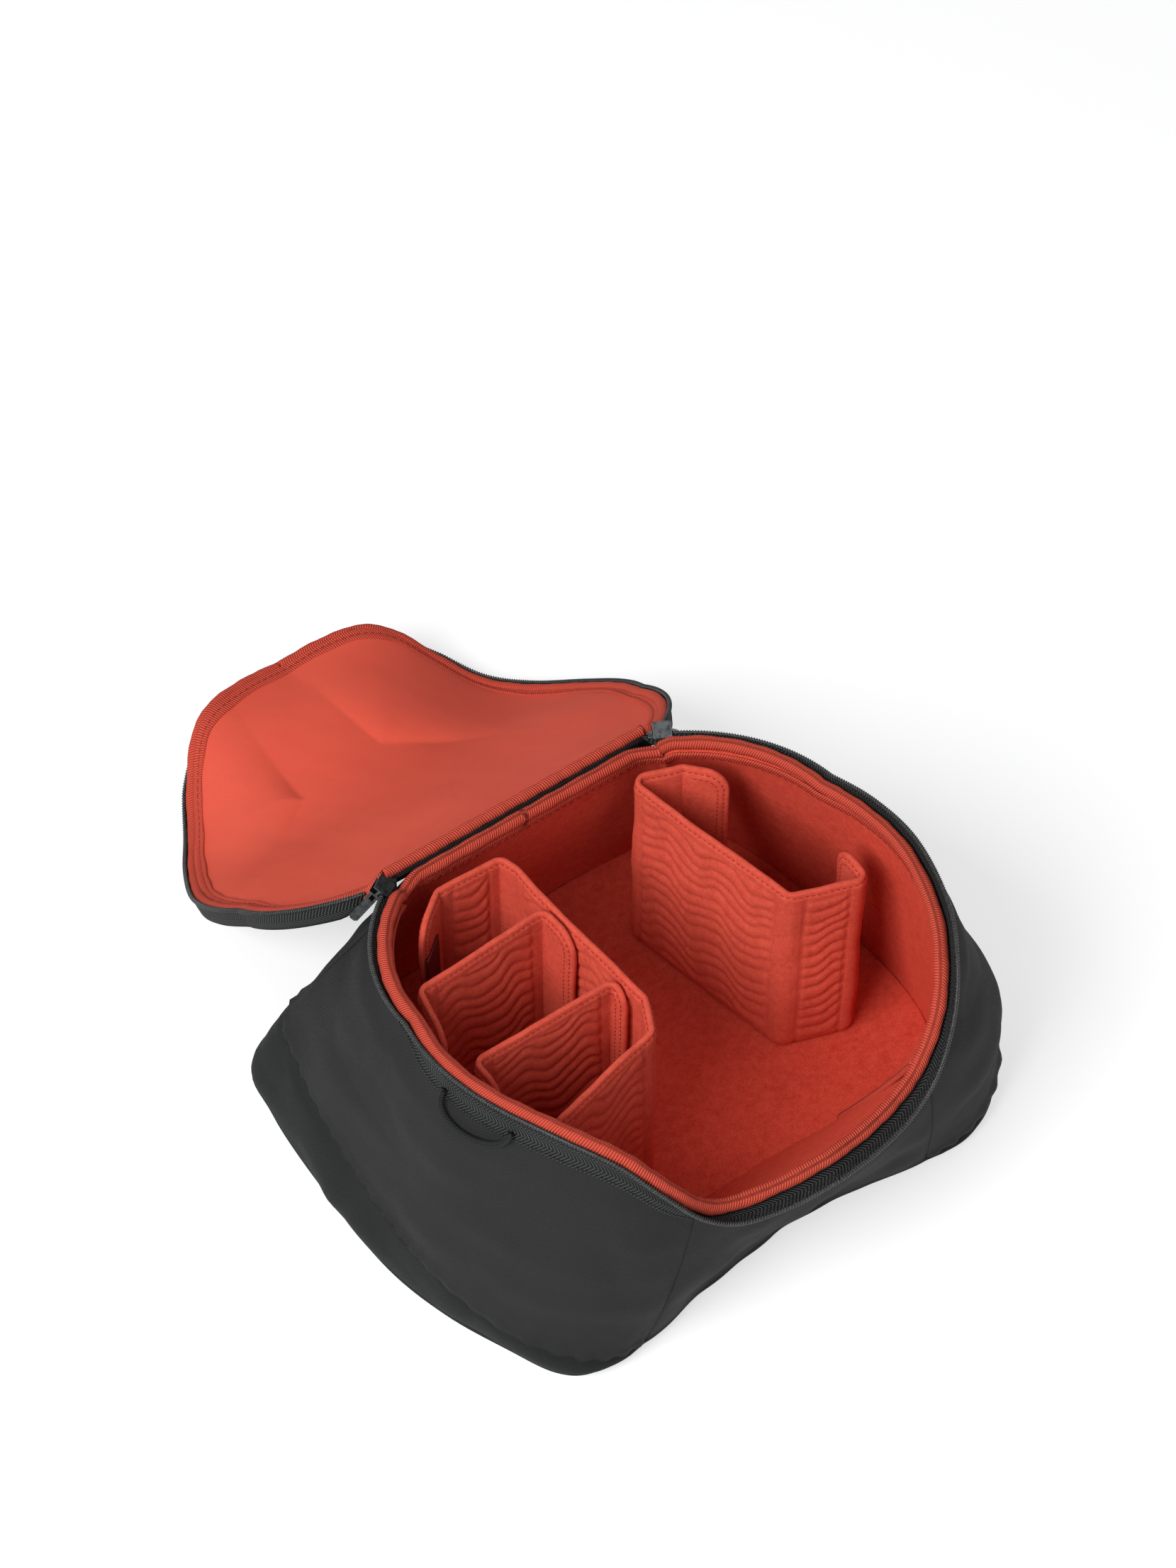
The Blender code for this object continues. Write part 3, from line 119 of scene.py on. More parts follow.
# The dividers seen from above, aside and forward, as shares of the rim's half width and depth
LEFT_DIVIDER = [
    (-0.640, 0.135), (-0.480, 0.068), (-0.200, 0.076), (-0.183, 0.120), (-0.165, 0.515),
    (-0.230, 0.585), (-0.780, 0.645),
]
REAR_CROSS = [(-0.845, 0.370), (-0.785, 0.245), (-0.2175, 0.232), (-0.213, 0.330)]
FRONT_CROSS = [(-0.800, 0.520), (-0.815, 0.440), (-0.206, 0.446), (-0.205, 0.488)]
RIGHT_DIVIDER = [
    (0.728, 0.178), (0.611, 0.1034), (0.415, 0.062), (0.545, 0.485), (0.832, 0.540), (0.855, 0.440),
]

# How many millimetres of tape show between coil and ribbed roll, on each side, from the hinge's end on
BARE_TAPE = {
    1: [[1.5], [1.5], [1.6], [2.4], [3.2], [4.0], [4.8], [5.6], [6.4], [7.0], [7.2], [7.2]],
    -1: [[2.0], [1.6], [0.4], [-0.8], [-1.4], [-1.6], [-1.0], [1.0], [4.0], [6.2], [7.2], [7.2]],
}
MM = 0.001
ROLL_HALF_HIGH, ROLL_HALF_WIDE, ROLL_OFF_TAPE, ROLL_PAST_COIL = 0.0042, 0.0036, 0.0046, 0.0004
ROLL_IN_AT_HINGE, ROLL_DOWN_AT_HINGE = 0.0036, 0.0019
FOAM_BELOW_ROLL, FOAM_TOP_IN, FOAM_BACK_OUT = 0.0040, 0.0016, 0.0010
FOAM_TOP_LEAST, FOAM_BACK_LEAST = 0.0038, 0.0022


def through(table, at):
    """A smooth curve through the rows of a table."""
    rows = np.asarray(table, float)
    last = len(rows) - 1
    at = min(max(at, 0.0), float(last))
    low = min(int(at), last - 1)
    t = at - low
    before = rows[low - 1] if low > 0 else 2 * rows[0] - rows[1]
    after = rows[low + 2] if low + 2 <= last else 2 * rows[last] - rows[last - 1]
    a, b = rows[low], rows[low + 1]
    square = 2 * before - 5 * a + 4 * b - after
    cube = 3 * a - before - 3 * b + after
    return 0.5 * (2 * a + (b - before) * t + square * t**2 + cube * t**3)


def placed(aside, forward, height):
    """A point from its place aside, forward of the hinge, and its height."""
    return np.array([aside, HINGE_BEHIND_ORIGIN - forward, height])


def unit(v):
    """The way, at length 1."""
    return v / np.linalg.norm(v)


def step_between(x, start, end):
    """0 before the start, 1 past the end, and a smooth rise between them."""
    t = np.clip((x - start) / (end - start), 0.0, 1.0)
    return t * t * (3 - 2 * t)


HINGE_TURN = math.acos((HINGE_HALF_LENGTH - CORNER_CENTRE_ASIDE) / CORNER_RADIUS)
CORNER_CENTRE = placed(
    CORNER_CENTRE_ASIDE,
    CORNER_RADIUS * math.sin(HINGE_TURN) * math.cos(CORNER_RAKE),
    HINGE_HEIGHT + CORNER_RADIUS * math.sin(HINGE_TURN) * math.sin(CORNER_RAKE),
)
HINGE_POINT = placed(0.0, 0.0, HINGE_HEIGHT)


def corner_arm(turn):
    """The way from the middle of the rim's round corner to a point of its arc."""
    across = math.sin(turn)
    return np.array([math.cos(turn), across * math.cos(CORNER_RAKE), -across * math.sin(CORNER_RAKE)])


@lru_cache(None)
def corner_end_shares(turn):
    point = CORNER_CENTRE + CORNER_RADIUS * corner_arm(turn)
    return (point[0] / RIM_HALF_WIDTH, (HINGE_BEHIND_ORIGIN - point[1]) / RIM_DEPTH, point[2] / HINGE_HEIGHT)


def rim_edge(rib):
    """The edge of the rim at a rib: the hinge, the round corner's arc, then a smooth curve."""
    if rib <= REAR_SEAM_RIB:
        return placed(HINGE_HALF_LENGTH * rib / REAR_SEAM_RIB, 0.0, HINGE_HEIGHT)
    if rib <= 4:
        return CORNER_CENTRE + CORNER_RADIUS * corner_arm(HINGE_TURN * (4 - rib) / 2)
    table = [corner_end_shares(HINGE_TURN / 2), corner_end_shares(0.0)] + RIM_SHARES
    aside, forward, height = through(table, rib - 3)
    return placed(aside * RIM_HALF_WIDTH, forward * RIM_DEPTH, height * HINGE_HEIGHT)


def base_foot(rib):
    """Where the outer cloth meets the board under the bag."""
    aside, forward = through(BASE_SHARES, rib)
    return placed(aside * BASE_HALF_WIDTH, forward * RIM_DEPTH, BASE_THICK + CLEARANCE)


def gusset_seam(rib):
    """The seam between the band round the foot and the panels."""
    aside, forward, height = through(SEAM_SHARES, rib)
    return placed(aside * BASE_HALF_WIDTH, forward * RIM_DEPTH, height * GUSSET_HEIGHT)


def wall_foot(rib):
    """Where the lined wall meets the board under the bag."""
    aside, forward = through(FLOOR_SHARES, rib)
    return placed(aside * BASE_HALF_WIDTH, forward * RIM_DEPTH, BASE_THICK + CLEARANCE)


def inward(rib):
    """The level way into the bag."""
    ahead, behind = min(rib + 0.05, RIBS), max(rib - 0.05, 0.0)
    along = gusset_seam(ahead) - gusset_seam(behind) + rim_edge(ahead) - rim_edge(behind)
    return unit(np.array([along[1], -along[0], 0.0]))


def rim_tangent(rib):
    """The way along the rim."""
    return unit(rim_edge(min(rib + 0.05, RIBS)) - rim_edge(max(rib - 0.05, 0.0)))


def rim_up(rib):
    """The way up, square to the rim."""
    along = rim_tangent(rib)
    up = np.array([0.0, 0.0, 1.0])
    return unit(up - along * np.dot(up, along))


def panel_top(rib):
    """The top of the outer panels: under the fold at the hinge, under the zip tape elsewhere."""
    seam_rib = max(rib, REAR_SEAM_RIB)
    shift = CORNER_SEAM_SHIFT * (1 - step_between(rib, REAR_SEAM_RIB, REAR_SEAM_RIB + 0.6))
    tape_in, tape_down = through(TAPE_SHARES, seam_rib - REAR_SEAM_RIB)
    down = np.array([0.0, 0.0, tape_down * TAPE_WIDTH])
    seam = rim_edge(seam_rib + shift) + inward(seam_rib) * tape_in * TAPE_WIDTH - down
    under_fold = rim_edge(rib) - np.array([0.0, CLEARANCE, FOLD_RADIUS + CLEARANCE])
    part = hinge_end(rib)
    return under_fold * (1 - part) + seam * part


def hinge_end(rib):
    """0 along the hinge, 1 past its end."""
    return step_between(rib, REAR_SEAM_RIB - HINGE_END_RIBS, REAR_SEAM_RIB)


def round_body(at):
    """(rib, side) of a place round the body."""
    at = at % (2 * RIBS)
    return (at, 1) if at <= RIBS else (2 * RIBS - at, -1)


@lru_cache(None)
def column(at):
    """What is needed of the wall at one place round the body, on its own side."""
    rib, side = round_body(at)
    m = np.array([side, 1.0, 1.0])
    c = SimpleNamespace(rib=rib, side=side)
    c.into, c.along, c.up = inward(rib) * m, rim_tangent(rib) * m, rim_up(rib) * m
    c.edge, c.top = rim_edge(rib) * m, panel_top(rib) * m
    c.seam, c.foot = gusset_seam(rib) * m, base_foot(rib) * m
    c.belly = float(step_between(rib, REAR_SEAM_RIB, REAR_SEAM_RIB + BELLY_RIBS))
    c.spread = 0.0
    if side > 0 and SPREAD_RIBS[0] < rib < SPREAD_RIBS[1]:
        part = (rib - SPREAD_RIBS[0]) / (SPREAD_RIBS[1] - SPREAD_RIBS[0])
        c.spread = RIGHT_SPREAD * math.sin(math.pi * part) ** 2
    c.wall_foot = wall_foot(rib) * m - c.into * c.spread * FOOT_SPREAD_SHARE
    near, c.rim = outside_of(c, np.array([0.8 * (1 - SEAM_SHARE) + SEAM_SHARE, 1.0]))
    c.top_up = unit(c.rim - near)
    square = np.cross(c.top_up, c.along)
    c.top_into = unit(square * math.copysign(1, np.dot(square, c.into)))
    c.binding = roll_centre(c)
    below = c.top_up * FOAM_BELOW_ROLL
    c.pad_top = inside_cloth(c, c.binding + c.top_into * FOAM_TOP_IN - below, FOAM_TOP_LEAST)
    c.pad_back = inside_cloth(c, c.binding - c.top_into * FOAM_BACK_OUT - below, FOAM_BACK_LEAST)
    return c


def each(ats, measure):
    """One measure of the wall at each of these places."""
    return np.stack([getattr(column(at), measure) for at in ats])


def roll_centre(c):
    """The middle of the ribbed roll: over the panel's edge at the hinge, and on the zip tape past it."""
    at_hinge = c.rim + c.top_into * ROLL_IN_AT_HINGE - c.top_up * ROLL_DOWN_AT_HINGE
    down_tape = unit(c.top - c.edge)
    off_tape = unit(np.cross(down_tape, c.along))
    off_tape = off_tape * math.copysign(1, np.dot(off_tape, c.into + np.array([0.0, 0.0, 0.5])))
    bare = MM * through(BARE_TAPE[c.side], c.rib - REAR_SEAM_RIB)[0]
    on_tape = c.edge + down_tape * (bare + ROLL_HALF_WIDE + ROLL_PAST_COIL) + off_tape * ROLL_OFF_TAPE
    part = step_between(c.rib, REAR_SEAM_RIB - HINGE_END_RIBS, REAR_SEAM_RIB + 0.3)
    return at_hinge * (1 - part) + on_tape * part


def inside_cloth(c, point, least):
    """The point, moved inwards until it is at least this far inside the top of the outer cloth."""
    return point + c.into * max(0.0, least - np.dot(point - c.rim, c.into))


def outside_of(c, shares):
    """Points on the outer face, from its foot at 0, past the seam, to its top at 1."""
    s = np.asarray(shares, float)[:, None]
    g, p = np.clip(s / SEAM_SHARE, 0, 1), np.clip((s - SEAM_SHARE) / (1 - SEAM_SHARE), 0, 1)
    low = c.foot + (c.seam - c.foot) * g - c.into * (GUSSET_BULGE * np.sin(np.pi * g) + c.spread * g)
    belly = PANEL_BULGE * np.sin(np.pi * p) * c.belly
    high = c.seam + (c.top - c.seam) * p - c.into * (belly + c.spread * (1 - p * p))
    return np.where(s < SEAM_SHARE, low, high)


def outside(at, shares):
    """Points on the outer face at one place round the body."""
    return outside_of(column(at), shares)


def lined(at, shares):
    """The lined face of the padded wall: upright beside the floor pad, then straight to its top."""
    c = column(at)
    s = np.asarray(shares, float)[:, None]
    rise = np.array([0.0, 0.0, FLOOR_THICK + CLEARANCE])
    t = np.clip((s - 1 / WALL_PARTS) / ((WALL_PARTS - 1) / WALL_PARTS), 0, 1)
    above = c.wall_foot + rise + (c.pad_top - c.wall_foot - rise) * t
    return np.where(s <= 1 / WALL_PARTS, c.wall_foot + rise * s * WALL_PARTS, above)


def lined_below(at, depth):
    """(a point on the lined face this far below its top, the way out of the wall there)."""
    c = column(at)
    down = c.wall_foot - c.pad_top
    way = unit(np.cross(c.along, down))
    return c.pad_top + unit(down) * depth, way * math.copysign(1, np.dot(way, c.into))


# Meshes
def soft_noise(points, size, seed, octaves=3):
    """Smooth, repeatable unevenness from -1 to 1, with features of about this size."""
    rng = np.random.default_rng(seed)
    points = np.asarray(points, float)
    total, weight = np.zeros(points.shape[:-1]), 0.0
    for octave in range(octaves):
        scale = 2 * np.pi / (size / 2**octave)
        gain = 0.5**octave
        for _ in range(4):
            way = rng.normal(size=3)
            way = way / np.linalg.norm(way) * scale * rng.uniform(0.7, 1.3)
            total += gain * np.sin(points @ way + rng.uniform(0, 2 * np.pi))
        weight += gain * 2.2
    return np.clip(total / weight, -1, 1)


def make(name, points, faces, uvs, look, node=None, body=None):
    """A smooth piece from its points, faces and one UV in metres for each point."""
    mesh = bpy.data.meshes.new(name)
    mesh.from_pydata([tuple(p) for p in points], [], [tuple(int(i) for i in f) for f in faces])
    layer = mesh.uv_layers.new(name="Cloth")
    index = np.zeros(len(mesh.loops), np.int32)
    mesh.loops.foreach_get("vertex_index", index)
    layer.data.foreach_set("uv", np.asarray(uvs, np.float32)[index].ravel())
    mesh.shade_smooth()
    mesh.materials.append(look)
    piece = bpy.data.objects.new(name, mesh)
    bpy.context.scene.collection.objects.link(piece)
    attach(piece, body or BODY_OF[node])
    if node:
        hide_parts(node)
    return piece


def grid_faces(n, m, closed_u=False, closed_v=False, start=0, flip=False):
    """The faces of a grid of n by m points, numbered row by row from start."""
    rows, columns = n if closed_u else n - 1, m if closed_v else m - 1
    i, j = np.meshgrid(np.arange(rows), np.arange(columns), indexing="ij")
    i2, j2 = (i + 1) % n, (j + 1) % m
    faces = np.stack([i * m + j, i2 * m + j, i2 * m + j2, i * m + j2], -1).reshape(-1, 4) + start
    return faces[:, ::-1] if flip else faces


def lengths(points):
    """Distance along a row of points."""
    return np.concatenate([[0.0], np.cumsum(np.linalg.norm(np.diff(points, axis=0), axis=1))])


def shell(name, outer, inner, look, node, closed=False, body=None):
    """A closed sheet with two faces, from two grids of points."""
    outer, inner = np.asarray(outer), np.asarray(inner)
    n, m = outer.shape[:2]
    points = np.concatenate([outer.reshape(-1, 3), inner.reshape(-1, 3)])
    faces = [grid_faces(n, m, closed), grid_faces(n, m, closed, start=n * m, flip=True)]
    total = n * m
    i = np.arange(n if closed else n - 1)
    j = (i + 1) % n
    faces.append(np.stack([i * m, total + i * m, total + j * m, j * m], -1))
    faces.append(np.stack([i * m + m - 1, j * m + m - 1, total + j * m + m - 1, total + i * m + m - 1], -1))
    if not closed:
        r = np.arange(m - 1)
        last = (n - 1) * m
        faces.append(np.stack([r, r + 1, total + r + 1, total + r], -1))
        faces.append(np.stack([last + r, total + last + r, total + last + r + 1, last + r + 1], -1))
    middle = outer[:, m // 2]
    u = lengths(middle)
    v = np.stack([lengths(line) for line in outer])
    uv = np.stack([np.repeat(u[:, None], m, 1), v], -1).reshape(-1, 2)
    return make(name, points, np.concatenate(faces), np.concatenate([uv, uv]), look, node, body)


def sweep(name, centres, ups, sides, profile, look, node, closed=False):
    """A profile of (up, side) pairs, or one profile for each place, carried along a row of centres."""
    profile = np.asarray(profile, float)
    if profile.ndim == 2:
        profile = np.repeat(profile[None], len(centres), 0)
    n, m = profile.shape[:2]
    grid = centres[:, None] + ups[:, None] * profile[..., :1] + sides[:, None] * profile[..., 1:]
    points = grid.reshape(-1, 3)
    faces = grid_faces(n, m, closed, True).tolist()
    u = lengths(centres)
    v = lengths(np.vstack([profile[0], profile[0][:1]]))[:-1]
    uv = np.stack([np.repeat(u[:, None], m, 1), np.repeat(v[None], n, 0)], -1).reshape(-1, 2)
    for row, turn in () if closed else ((0, 1), (n - 1, -1)):
        points = np.vstack([points, grid[row].mean(0)])
        uv = np.vstack([uv, uv[row * m]])
        k = np.arange(m)
        ring = np.stack([np.full(m, len(points) - 1), row * m + (k + 1) % m, row * m + k], -1)
        faces += ring[:, ::turn].tolist()
    return tidy(make(name, points, faces, uv, look, node))


def tidy(piece):
    """The piece with all its faces turned outwards."""
    shape = bmesh.new()
    shape.from_mesh(piece.data)
    bmesh.ops.recalc_face_normals(shape, faces=shape.faces)
    shape.to_mesh(piece.data)
    shape.free()
    piece.data.shade_smooth()
    return piece


def frames_along(points, up):
    """(ups, sides) along a path, square to it, with the ups near this way."""
    along = unit_rows(np.gradient(points, axis=0))
    ups = unit_rows(up - along * (along @ up)[:, None])
    return ups, np.cross(along, ups)


def unit_rows(rows):
    """Each way, at length 1."""
    return rows / np.linalg.norm(rows, axis=-1, keepdims=True)


def squared(ways, along):
    """The ways made square to the path, and of length 1."""
    return unit_rows(ways - along * np.sum(ways * along, 1)[:, None])


def read_rows(rows, at, run):
    """Rows given at these distances, read at others."""
    return np.stack([np.interp(at, run, rows[:, k]) for k in range(rows.shape[1])], -1)


def along_path(rows, path, step):
    """Rows given at the points of a path, read at even steps along it."""
    run = lengths(path)
    return read_rows(rows, np.linspace(0, run[-1], max(2, int(round(run[-1] / step)) + 1)), run)


def rings_round(line, first, second, radius, sides):
    """Circles round a row of points, in the plane of the first and second ways."""
    turn = np.arange(sides) * 2 * np.pi / sides
    cos, sin = np.cos(turn)[None, :, None], np.sin(turn)[None, :, None]
    return line[:, None] + radius * (first[:, None] * cos + second[:, None] * sin)


def oval(half_high, half_wide, count=14, power=1.0):
    """A round section of (up, side) pairs. A power under 1 makes it squarer."""
    turn = np.arange(count) * 2 * np.pi / count
    c, s = np.cos(turn), np.sin(turn)
    high, wide = half_high * np.sign(c) * abs(c) ** power, half_wide * np.sign(s) * abs(s) ** power
    return np.stack([high, wide], -1)


THREAD_RADIUS, THREAD_LIFT, THREAD_SIDES = 0.00028, 0.00022, 5
# Five places along a stitch: the share of its length, of its height over the cloth and of its thickness
STITCH_PARTS = np.array([0.0, 0.18, 0.5, 0.82, 1.0])
STITCH_HEIGHTS = np.array([-0.9, 0.55, 1.0, 0.55, -0.9])
STITCH_WIDTHS = np.array([0.55, 1.0, 1.0, 1.0, 0.55])


def stitches(name, line, ways, look, body, length, gap, step=0.002, closed=False, zigzag=0.0):
    """A row of sewn stitches along a line, each a short thread that dips into the cloth at its ends."""
    if closed:
        line, ways = np.vstack([line, line[:1]]), np.vstack([ways, ways[:1]])
    path, normals = along_path(line, line, step), along_path(ways, line, step)
    run = lengths(path)
    radii = THREAD_RADIUS * STITCH_WIDTHS[:, None, None]
    points, faces = [], []
    for k in range(int(run[-1] / (length + gap))):
        at = k * (length + gap) + STITCH_PARTS * length
        here = read_rows(path, at, run)
        normal = unit(read_rows(normals, at[2], run))
        across = np.cross(normal, unit(here[-1] - here[0]))
        if zigzag:
            sway = (STITCH_PARTS * 2 - 1) * zigzag * (1 if k % 2 else -1)
            here = here + across * sway[:, None]
            across = unit(np.cross(normal, unit(here[-1] - here[0])))
        centre = here + normal * (STITCH_HEIGHTS * THREAD_LIFT)[:, None]
        points.append(rings_round(centre, across[None], normal[None], radii, THREAD_SIDES).reshape(-1, 3))
        start = k * len(STITCH_PARTS) * THREAD_SIDES
        faces += grid_faces(len(STITCH_PARTS), THREAD_SIDES, False, True, start).tolist()
        faces.append([start + i for i in range(THREAD_SIDES)][::-1])
        faces.append([start + (len(STITCH_PARTS) - 1) * THREAD_SIDES + i for i in range(THREAD_SIDES)])
    points = np.concatenate(points)
    return tidy(make(name, points, faces, np.zeros((len(points), 2)), look, None, body))


# Materials
def linear(red, green, blue):
    """A colour as it is read off a screen, in the renderer's own units."""
    shares = [channel / 255.0 for channel in (red, green, blue)]
    return tuple(c / 12.92 if c <= 0.04045 else ((c + 0.055) / 1.055) ** 2.4 for c in shares)


class Look:
    """A node material: its base colour, and heights that are added up into one bump."""

    def __init__(self, name, slot, roughness, metallic=0.0, sheen=0.0, sheen_tint=(1, 1, 1), specular=0.5):
        self.material = bpy.data.materials.new(name)
        self.material.use_nodes = True
        self.material["slot"] = slot
        self.tree = self.material.node_tree
        self.shader = self.tree.nodes["Principled BSDF"]
        self.shader.inputs["Roughness"].default_value = roughness
        self.shader.inputs["Metallic"].default_value = metallic
        self.shader.inputs["Specular IOR Level"].default_value = specular
        self.shader.inputs["Sheen Weight"].default_value = sheen
        self.shader.inputs["Sheen Roughness"].default_value = 0.45
        self.shader.inputs["Sheen Tint"].default_value = (*sheen_tint, 1.0)
        self.coordinates = self.tree.nodes.new("ShaderNodeTexCoord")
        split = self.tree.nodes.new("ShaderNodeSeparateXYZ")
        self.tree.links.new(self.coordinates.outputs["UV"], split.inputs[0])
        self.u, self.v = split.outputs[0], split.outputs[1]
        self.place = self.coordinates.outputs["Object"]

    def math(self, operation, *values, clamp=False):
        made = self.tree.nodes.new("ShaderNodeMath")
        made.operation = operation
        made.use_clamp = clamp
        for socket, value in zip(made.inputs, values):
            if isinstance(value, (int, float)):
                socket.default_value = value
            else:
                self.tree.links.new(value, socket)
        return made.outputs[0]

    def noise(self, scale, detail, roughness=0.55, distortion=0.0):
        made = self.tree.nodes.new("ShaderNodeTexNoise")
        made.inputs["Scale"].default_value = scale
        made.inputs["Detail"].default_value = detail
        made.inputs["Roughness"].default_value = roughness
        made.inputs["Distortion"].default_value = distortion
        self.tree.links.new(self.place, made.inputs["Vector"])
        return made.outputs["Fac"]

    def ribs(self, along, pitch, shift=None):
        """A wave from 0 to 1 along a coordinate."""
        turn = self.math("MULTIPLY", along, 2 * math.pi / pitch)
        if shift is not None:
            turn = self.math("ADD", turn, shift)
        return self.math("MULTIPLY_ADD", self.math("SINE", turn), 0.5, 0.5)

    def ramp(self, fac, *stops):
        made = self.tree.nodes.new("ShaderNodeValToRGB")
        while len(made.color_ramp.elements) < len(stops):
            made.color_ramp.elements.new(0.5)
        for element, (position, colour) in zip(made.color_ramp.elements, stops):
            element.position = position
            element.color = (*colour, 1.0)
        self.tree.links.new(fac, made.inputs[0])
        return made.outputs[0]

    def mix(self, fac, first, second):
        made = self.tree.nodes.new("ShaderNodeMix")
        made.data_type = "RGBA"
        for socket, value in ((made.inputs[0], fac), (made.inputs[6], first), (made.inputs[7], second)):
            if isinstance(value, tuple):
                socket.default_value = (*value, 1.0)
            elif isinstance(value, (int, float)):
                socket.default_value = value
            else:
                self.tree.links.new(value, socket)
        return made.outputs[2]

    def colour(self, value):
        self.tree.links.new(value, self.shader.inputs["Base Color"])

    def rough(self, fac, low, high):
        value = self.math("MULTIPLY_ADD", fac, high - low, low)
        self.tree.links.new(value, self.shader.inputs["Roughness"])

    def bump(self, *layers):
        """Layers of (height from 0 to 1, depth in metres), each added over the last."""
        normal = None
        for height, depth in layers:
            made = self.tree.nodes.new("ShaderNodeBump")
            made.inputs["Strength"].default_value = 1.0
            made.inputs["Distance"].default_value = depth
            self.tree.links.new(height, made.inputs["Height"])
            if normal is not None:
                self.tree.links.new(normal, made.inputs["Normal"])
            normal = made.outputs[0]
        self.tree.links.new(normal, self.shader.inputs["Normal"])


def cloth_look(name, slot, colour, light):
    """Coated nylon: a plain weave with painted shade between its threads and painted highlight on them, faint
    creases and worn lighter places.
    """
    pitch, roughness, relief_depth = 0.0011, 0.72, 0.00016
    look = Look(name, slot, roughness, specular=0.12)
    across, down = look.ribs(look.u, pitch), look.ribs(look.v, pitch)
    over = look.math("ABSOLUTE", look.math("SUBTRACT", across, down))
    cloud = look.noise(9.0, 4.0)
    fibre = look.noise(900.0, 2.0)
    base = look.ramp(cloud, (0.25, colour), (0.8, light))
    # The weave's colour follows its bump: painted shade between the threads, painted highlight on their
    # crowns.
    weave_shade_and_highlight = look.ramp(over, (0.0, tuple(0.5 * c for c in colour)), (0.9, tuple(1.35 * c for c in light)))
    look.colour(look.mix(0.55, base, weave_shade_and_highlight))
    fuzz = look.math("MULTIPLY_ADD", fibre, 0.5, look.math("MULTIPLY", over, 0.5))
    look.rough(fuzz, roughness - 0.1, roughness + 0.12)
    look.bump((look.noise(42.0, 4.0, 0.6), 0.0008), (over, relief_depth), (fibre, relief_depth * 0.6))
    return look.material


def tape_look(name, slot, colour, light):
    """Herringbone zip tape: slanting ribs that turn back and forth across the tape, with painted shade in
    their grooves and painted highlight on their ridges.
    """
    turn_pitch, rib_pitch = 0.0055, 0.0020
    look = Look(name, slot, 0.8, specular=0.2)
    fold = look.math("PINGPONG", look.v, turn_pitch)
    ribs = look.ribs(look.math("ADD", look.u, look.math("MULTIPLY", fold, 0.8)), rib_pitch)
    turn = look.math("GREATER_THAN", look.ribs(look.v, turn_pitch, math.pi / 2), 0.985)
    # The ribs' colour follows their bump: painted shade in the grooves, painted highlight on the ridges.
    base = look.ramp(ribs, (0.2, tuple(0.35 * c for c in colour)), (0.7, light))
    look.colour(look.mix(look.math("MULTIPLY", turn, 0.35), base, tuple(0.4 * c for c in colour)))
    look.bump((ribs, 0.00060), (look.noise(1500.0, 2.0), 0.00008))
    return look.material


def ribbed_look(name, slot, colour, light, dark, pitch=0.0014):
    """Grosgrain binding: fine cords across the tape, with painted shade in the grooves between them and
    painted highlight on their crowns.
    """
    look = Look(name, slot, 0.85, sheen=0.12, sheen_tint=light, specular=0.15)
    slant = look.math("MULTIPLY_ADD", look.v, 0.25, look.u)
    ribs = look.ribs(slant, pitch)
    cloud = look.noise(55.0, 4.0)
    # The dark colour lies in the grooves and the light one on the cords: painted shade and painted highlight
    # that follow the ribs' bump.
    base = look.ramp(ribs, (0.0, dark), (0.5, colour), (1.0, light))
    look.colour(look.mix(look.math("MULTIPLY", cloud, 0.45), base, colour))
    look.bump((cloud, 0.0008), (ribs, 0.00045), (look.noise(1800.0, 2.0), 0.00006))
    return look.material


def fleece_look(name, slot, colour, light, dark, fuzz=0.00022, sheen=0.25, mottle=220.0):
    """Brushed fleece: short tangled pile with a soft bloom."""
    look = Look(name, slot, 0.95, sheen=sheen, sheen_tint=light, specular=0.08)
    clumps = look.noise(mottle, 5.0, 0.68, distortion=0.4)
    pile = look.noise(1100.0, 3.0, 0.7)
    both = look.math("MULTIPLY_ADD", clumps, 0.5, look.math("MULTIPLY", pile, 0.5))
    look.colour(look.ramp(both, (0.30, dark), (0.5, colour), (0.72, light)))
    look.bump((look.noise(40.0, 3.0), 0.0006), (clumps, fuzz), (pile, fuzz))
    return look.material


def knit_look(name, slot, colour, light, dark):
    """The lid's smooth lining: a very fine knit with painted shade between its loops, moulded over foam."""
    pitch = 0.0008
    look = Look(name, slot, 0.9, sheen=0.10, sheen_tint=light, specular=0.12)
    loops = look.math("MULTIPLY", look.ribs(look.v, pitch), look.ribs(look.u, pitch))
    cloud = look.noise(11.0, 4.0)
    base = look.ramp(cloud, (0.3, colour), (0.75, light))
    # The loops' colour follows their bump: painted shade in the hollows of the knit.
    look.colour(look.mix(0.4, base, look.ramp(loops, (0.0, dark), (0.5, light))))
    look.bump((look.noise(22.0, 4.0), 0.0010), (loops, 0.00008), (look.noise(1200.0, 2.0), 0.00010))
    return look.material


def thread_look(name, slot, colour, light):
    """Sewing thread, finely spun."""
    look = Look(name, slot, 0.7, specular=0.3)
    look.colour(look.ramp(look.noise(1500.0, 2.0), (0.3, colour), (0.7, light)))
    look.bump((look.noise(2500.0, 2.0), 0.00005))
    return look.material


def hook_look(name, slot, colour, light):
    """Hook tape: a field of little hooks, with painted highlight on them and painted shade between them."""
    look = Look(name, slot, 0.6, specular=0.3)
    dots = look.math("MULTIPLY", look.ribs(look.u, 0.0012), look.ribs(look.v, 0.0012))
    # The colour follows the hooks' bump: painted highlight on the hooks, painted shade between them.
    look.colour(look.ramp(dots, (0.1, colour), (0.8, light)))
    look.bump((dots, 0.0006), (look.noise(1500.0, 2.0), 0.0001))
    return look.material


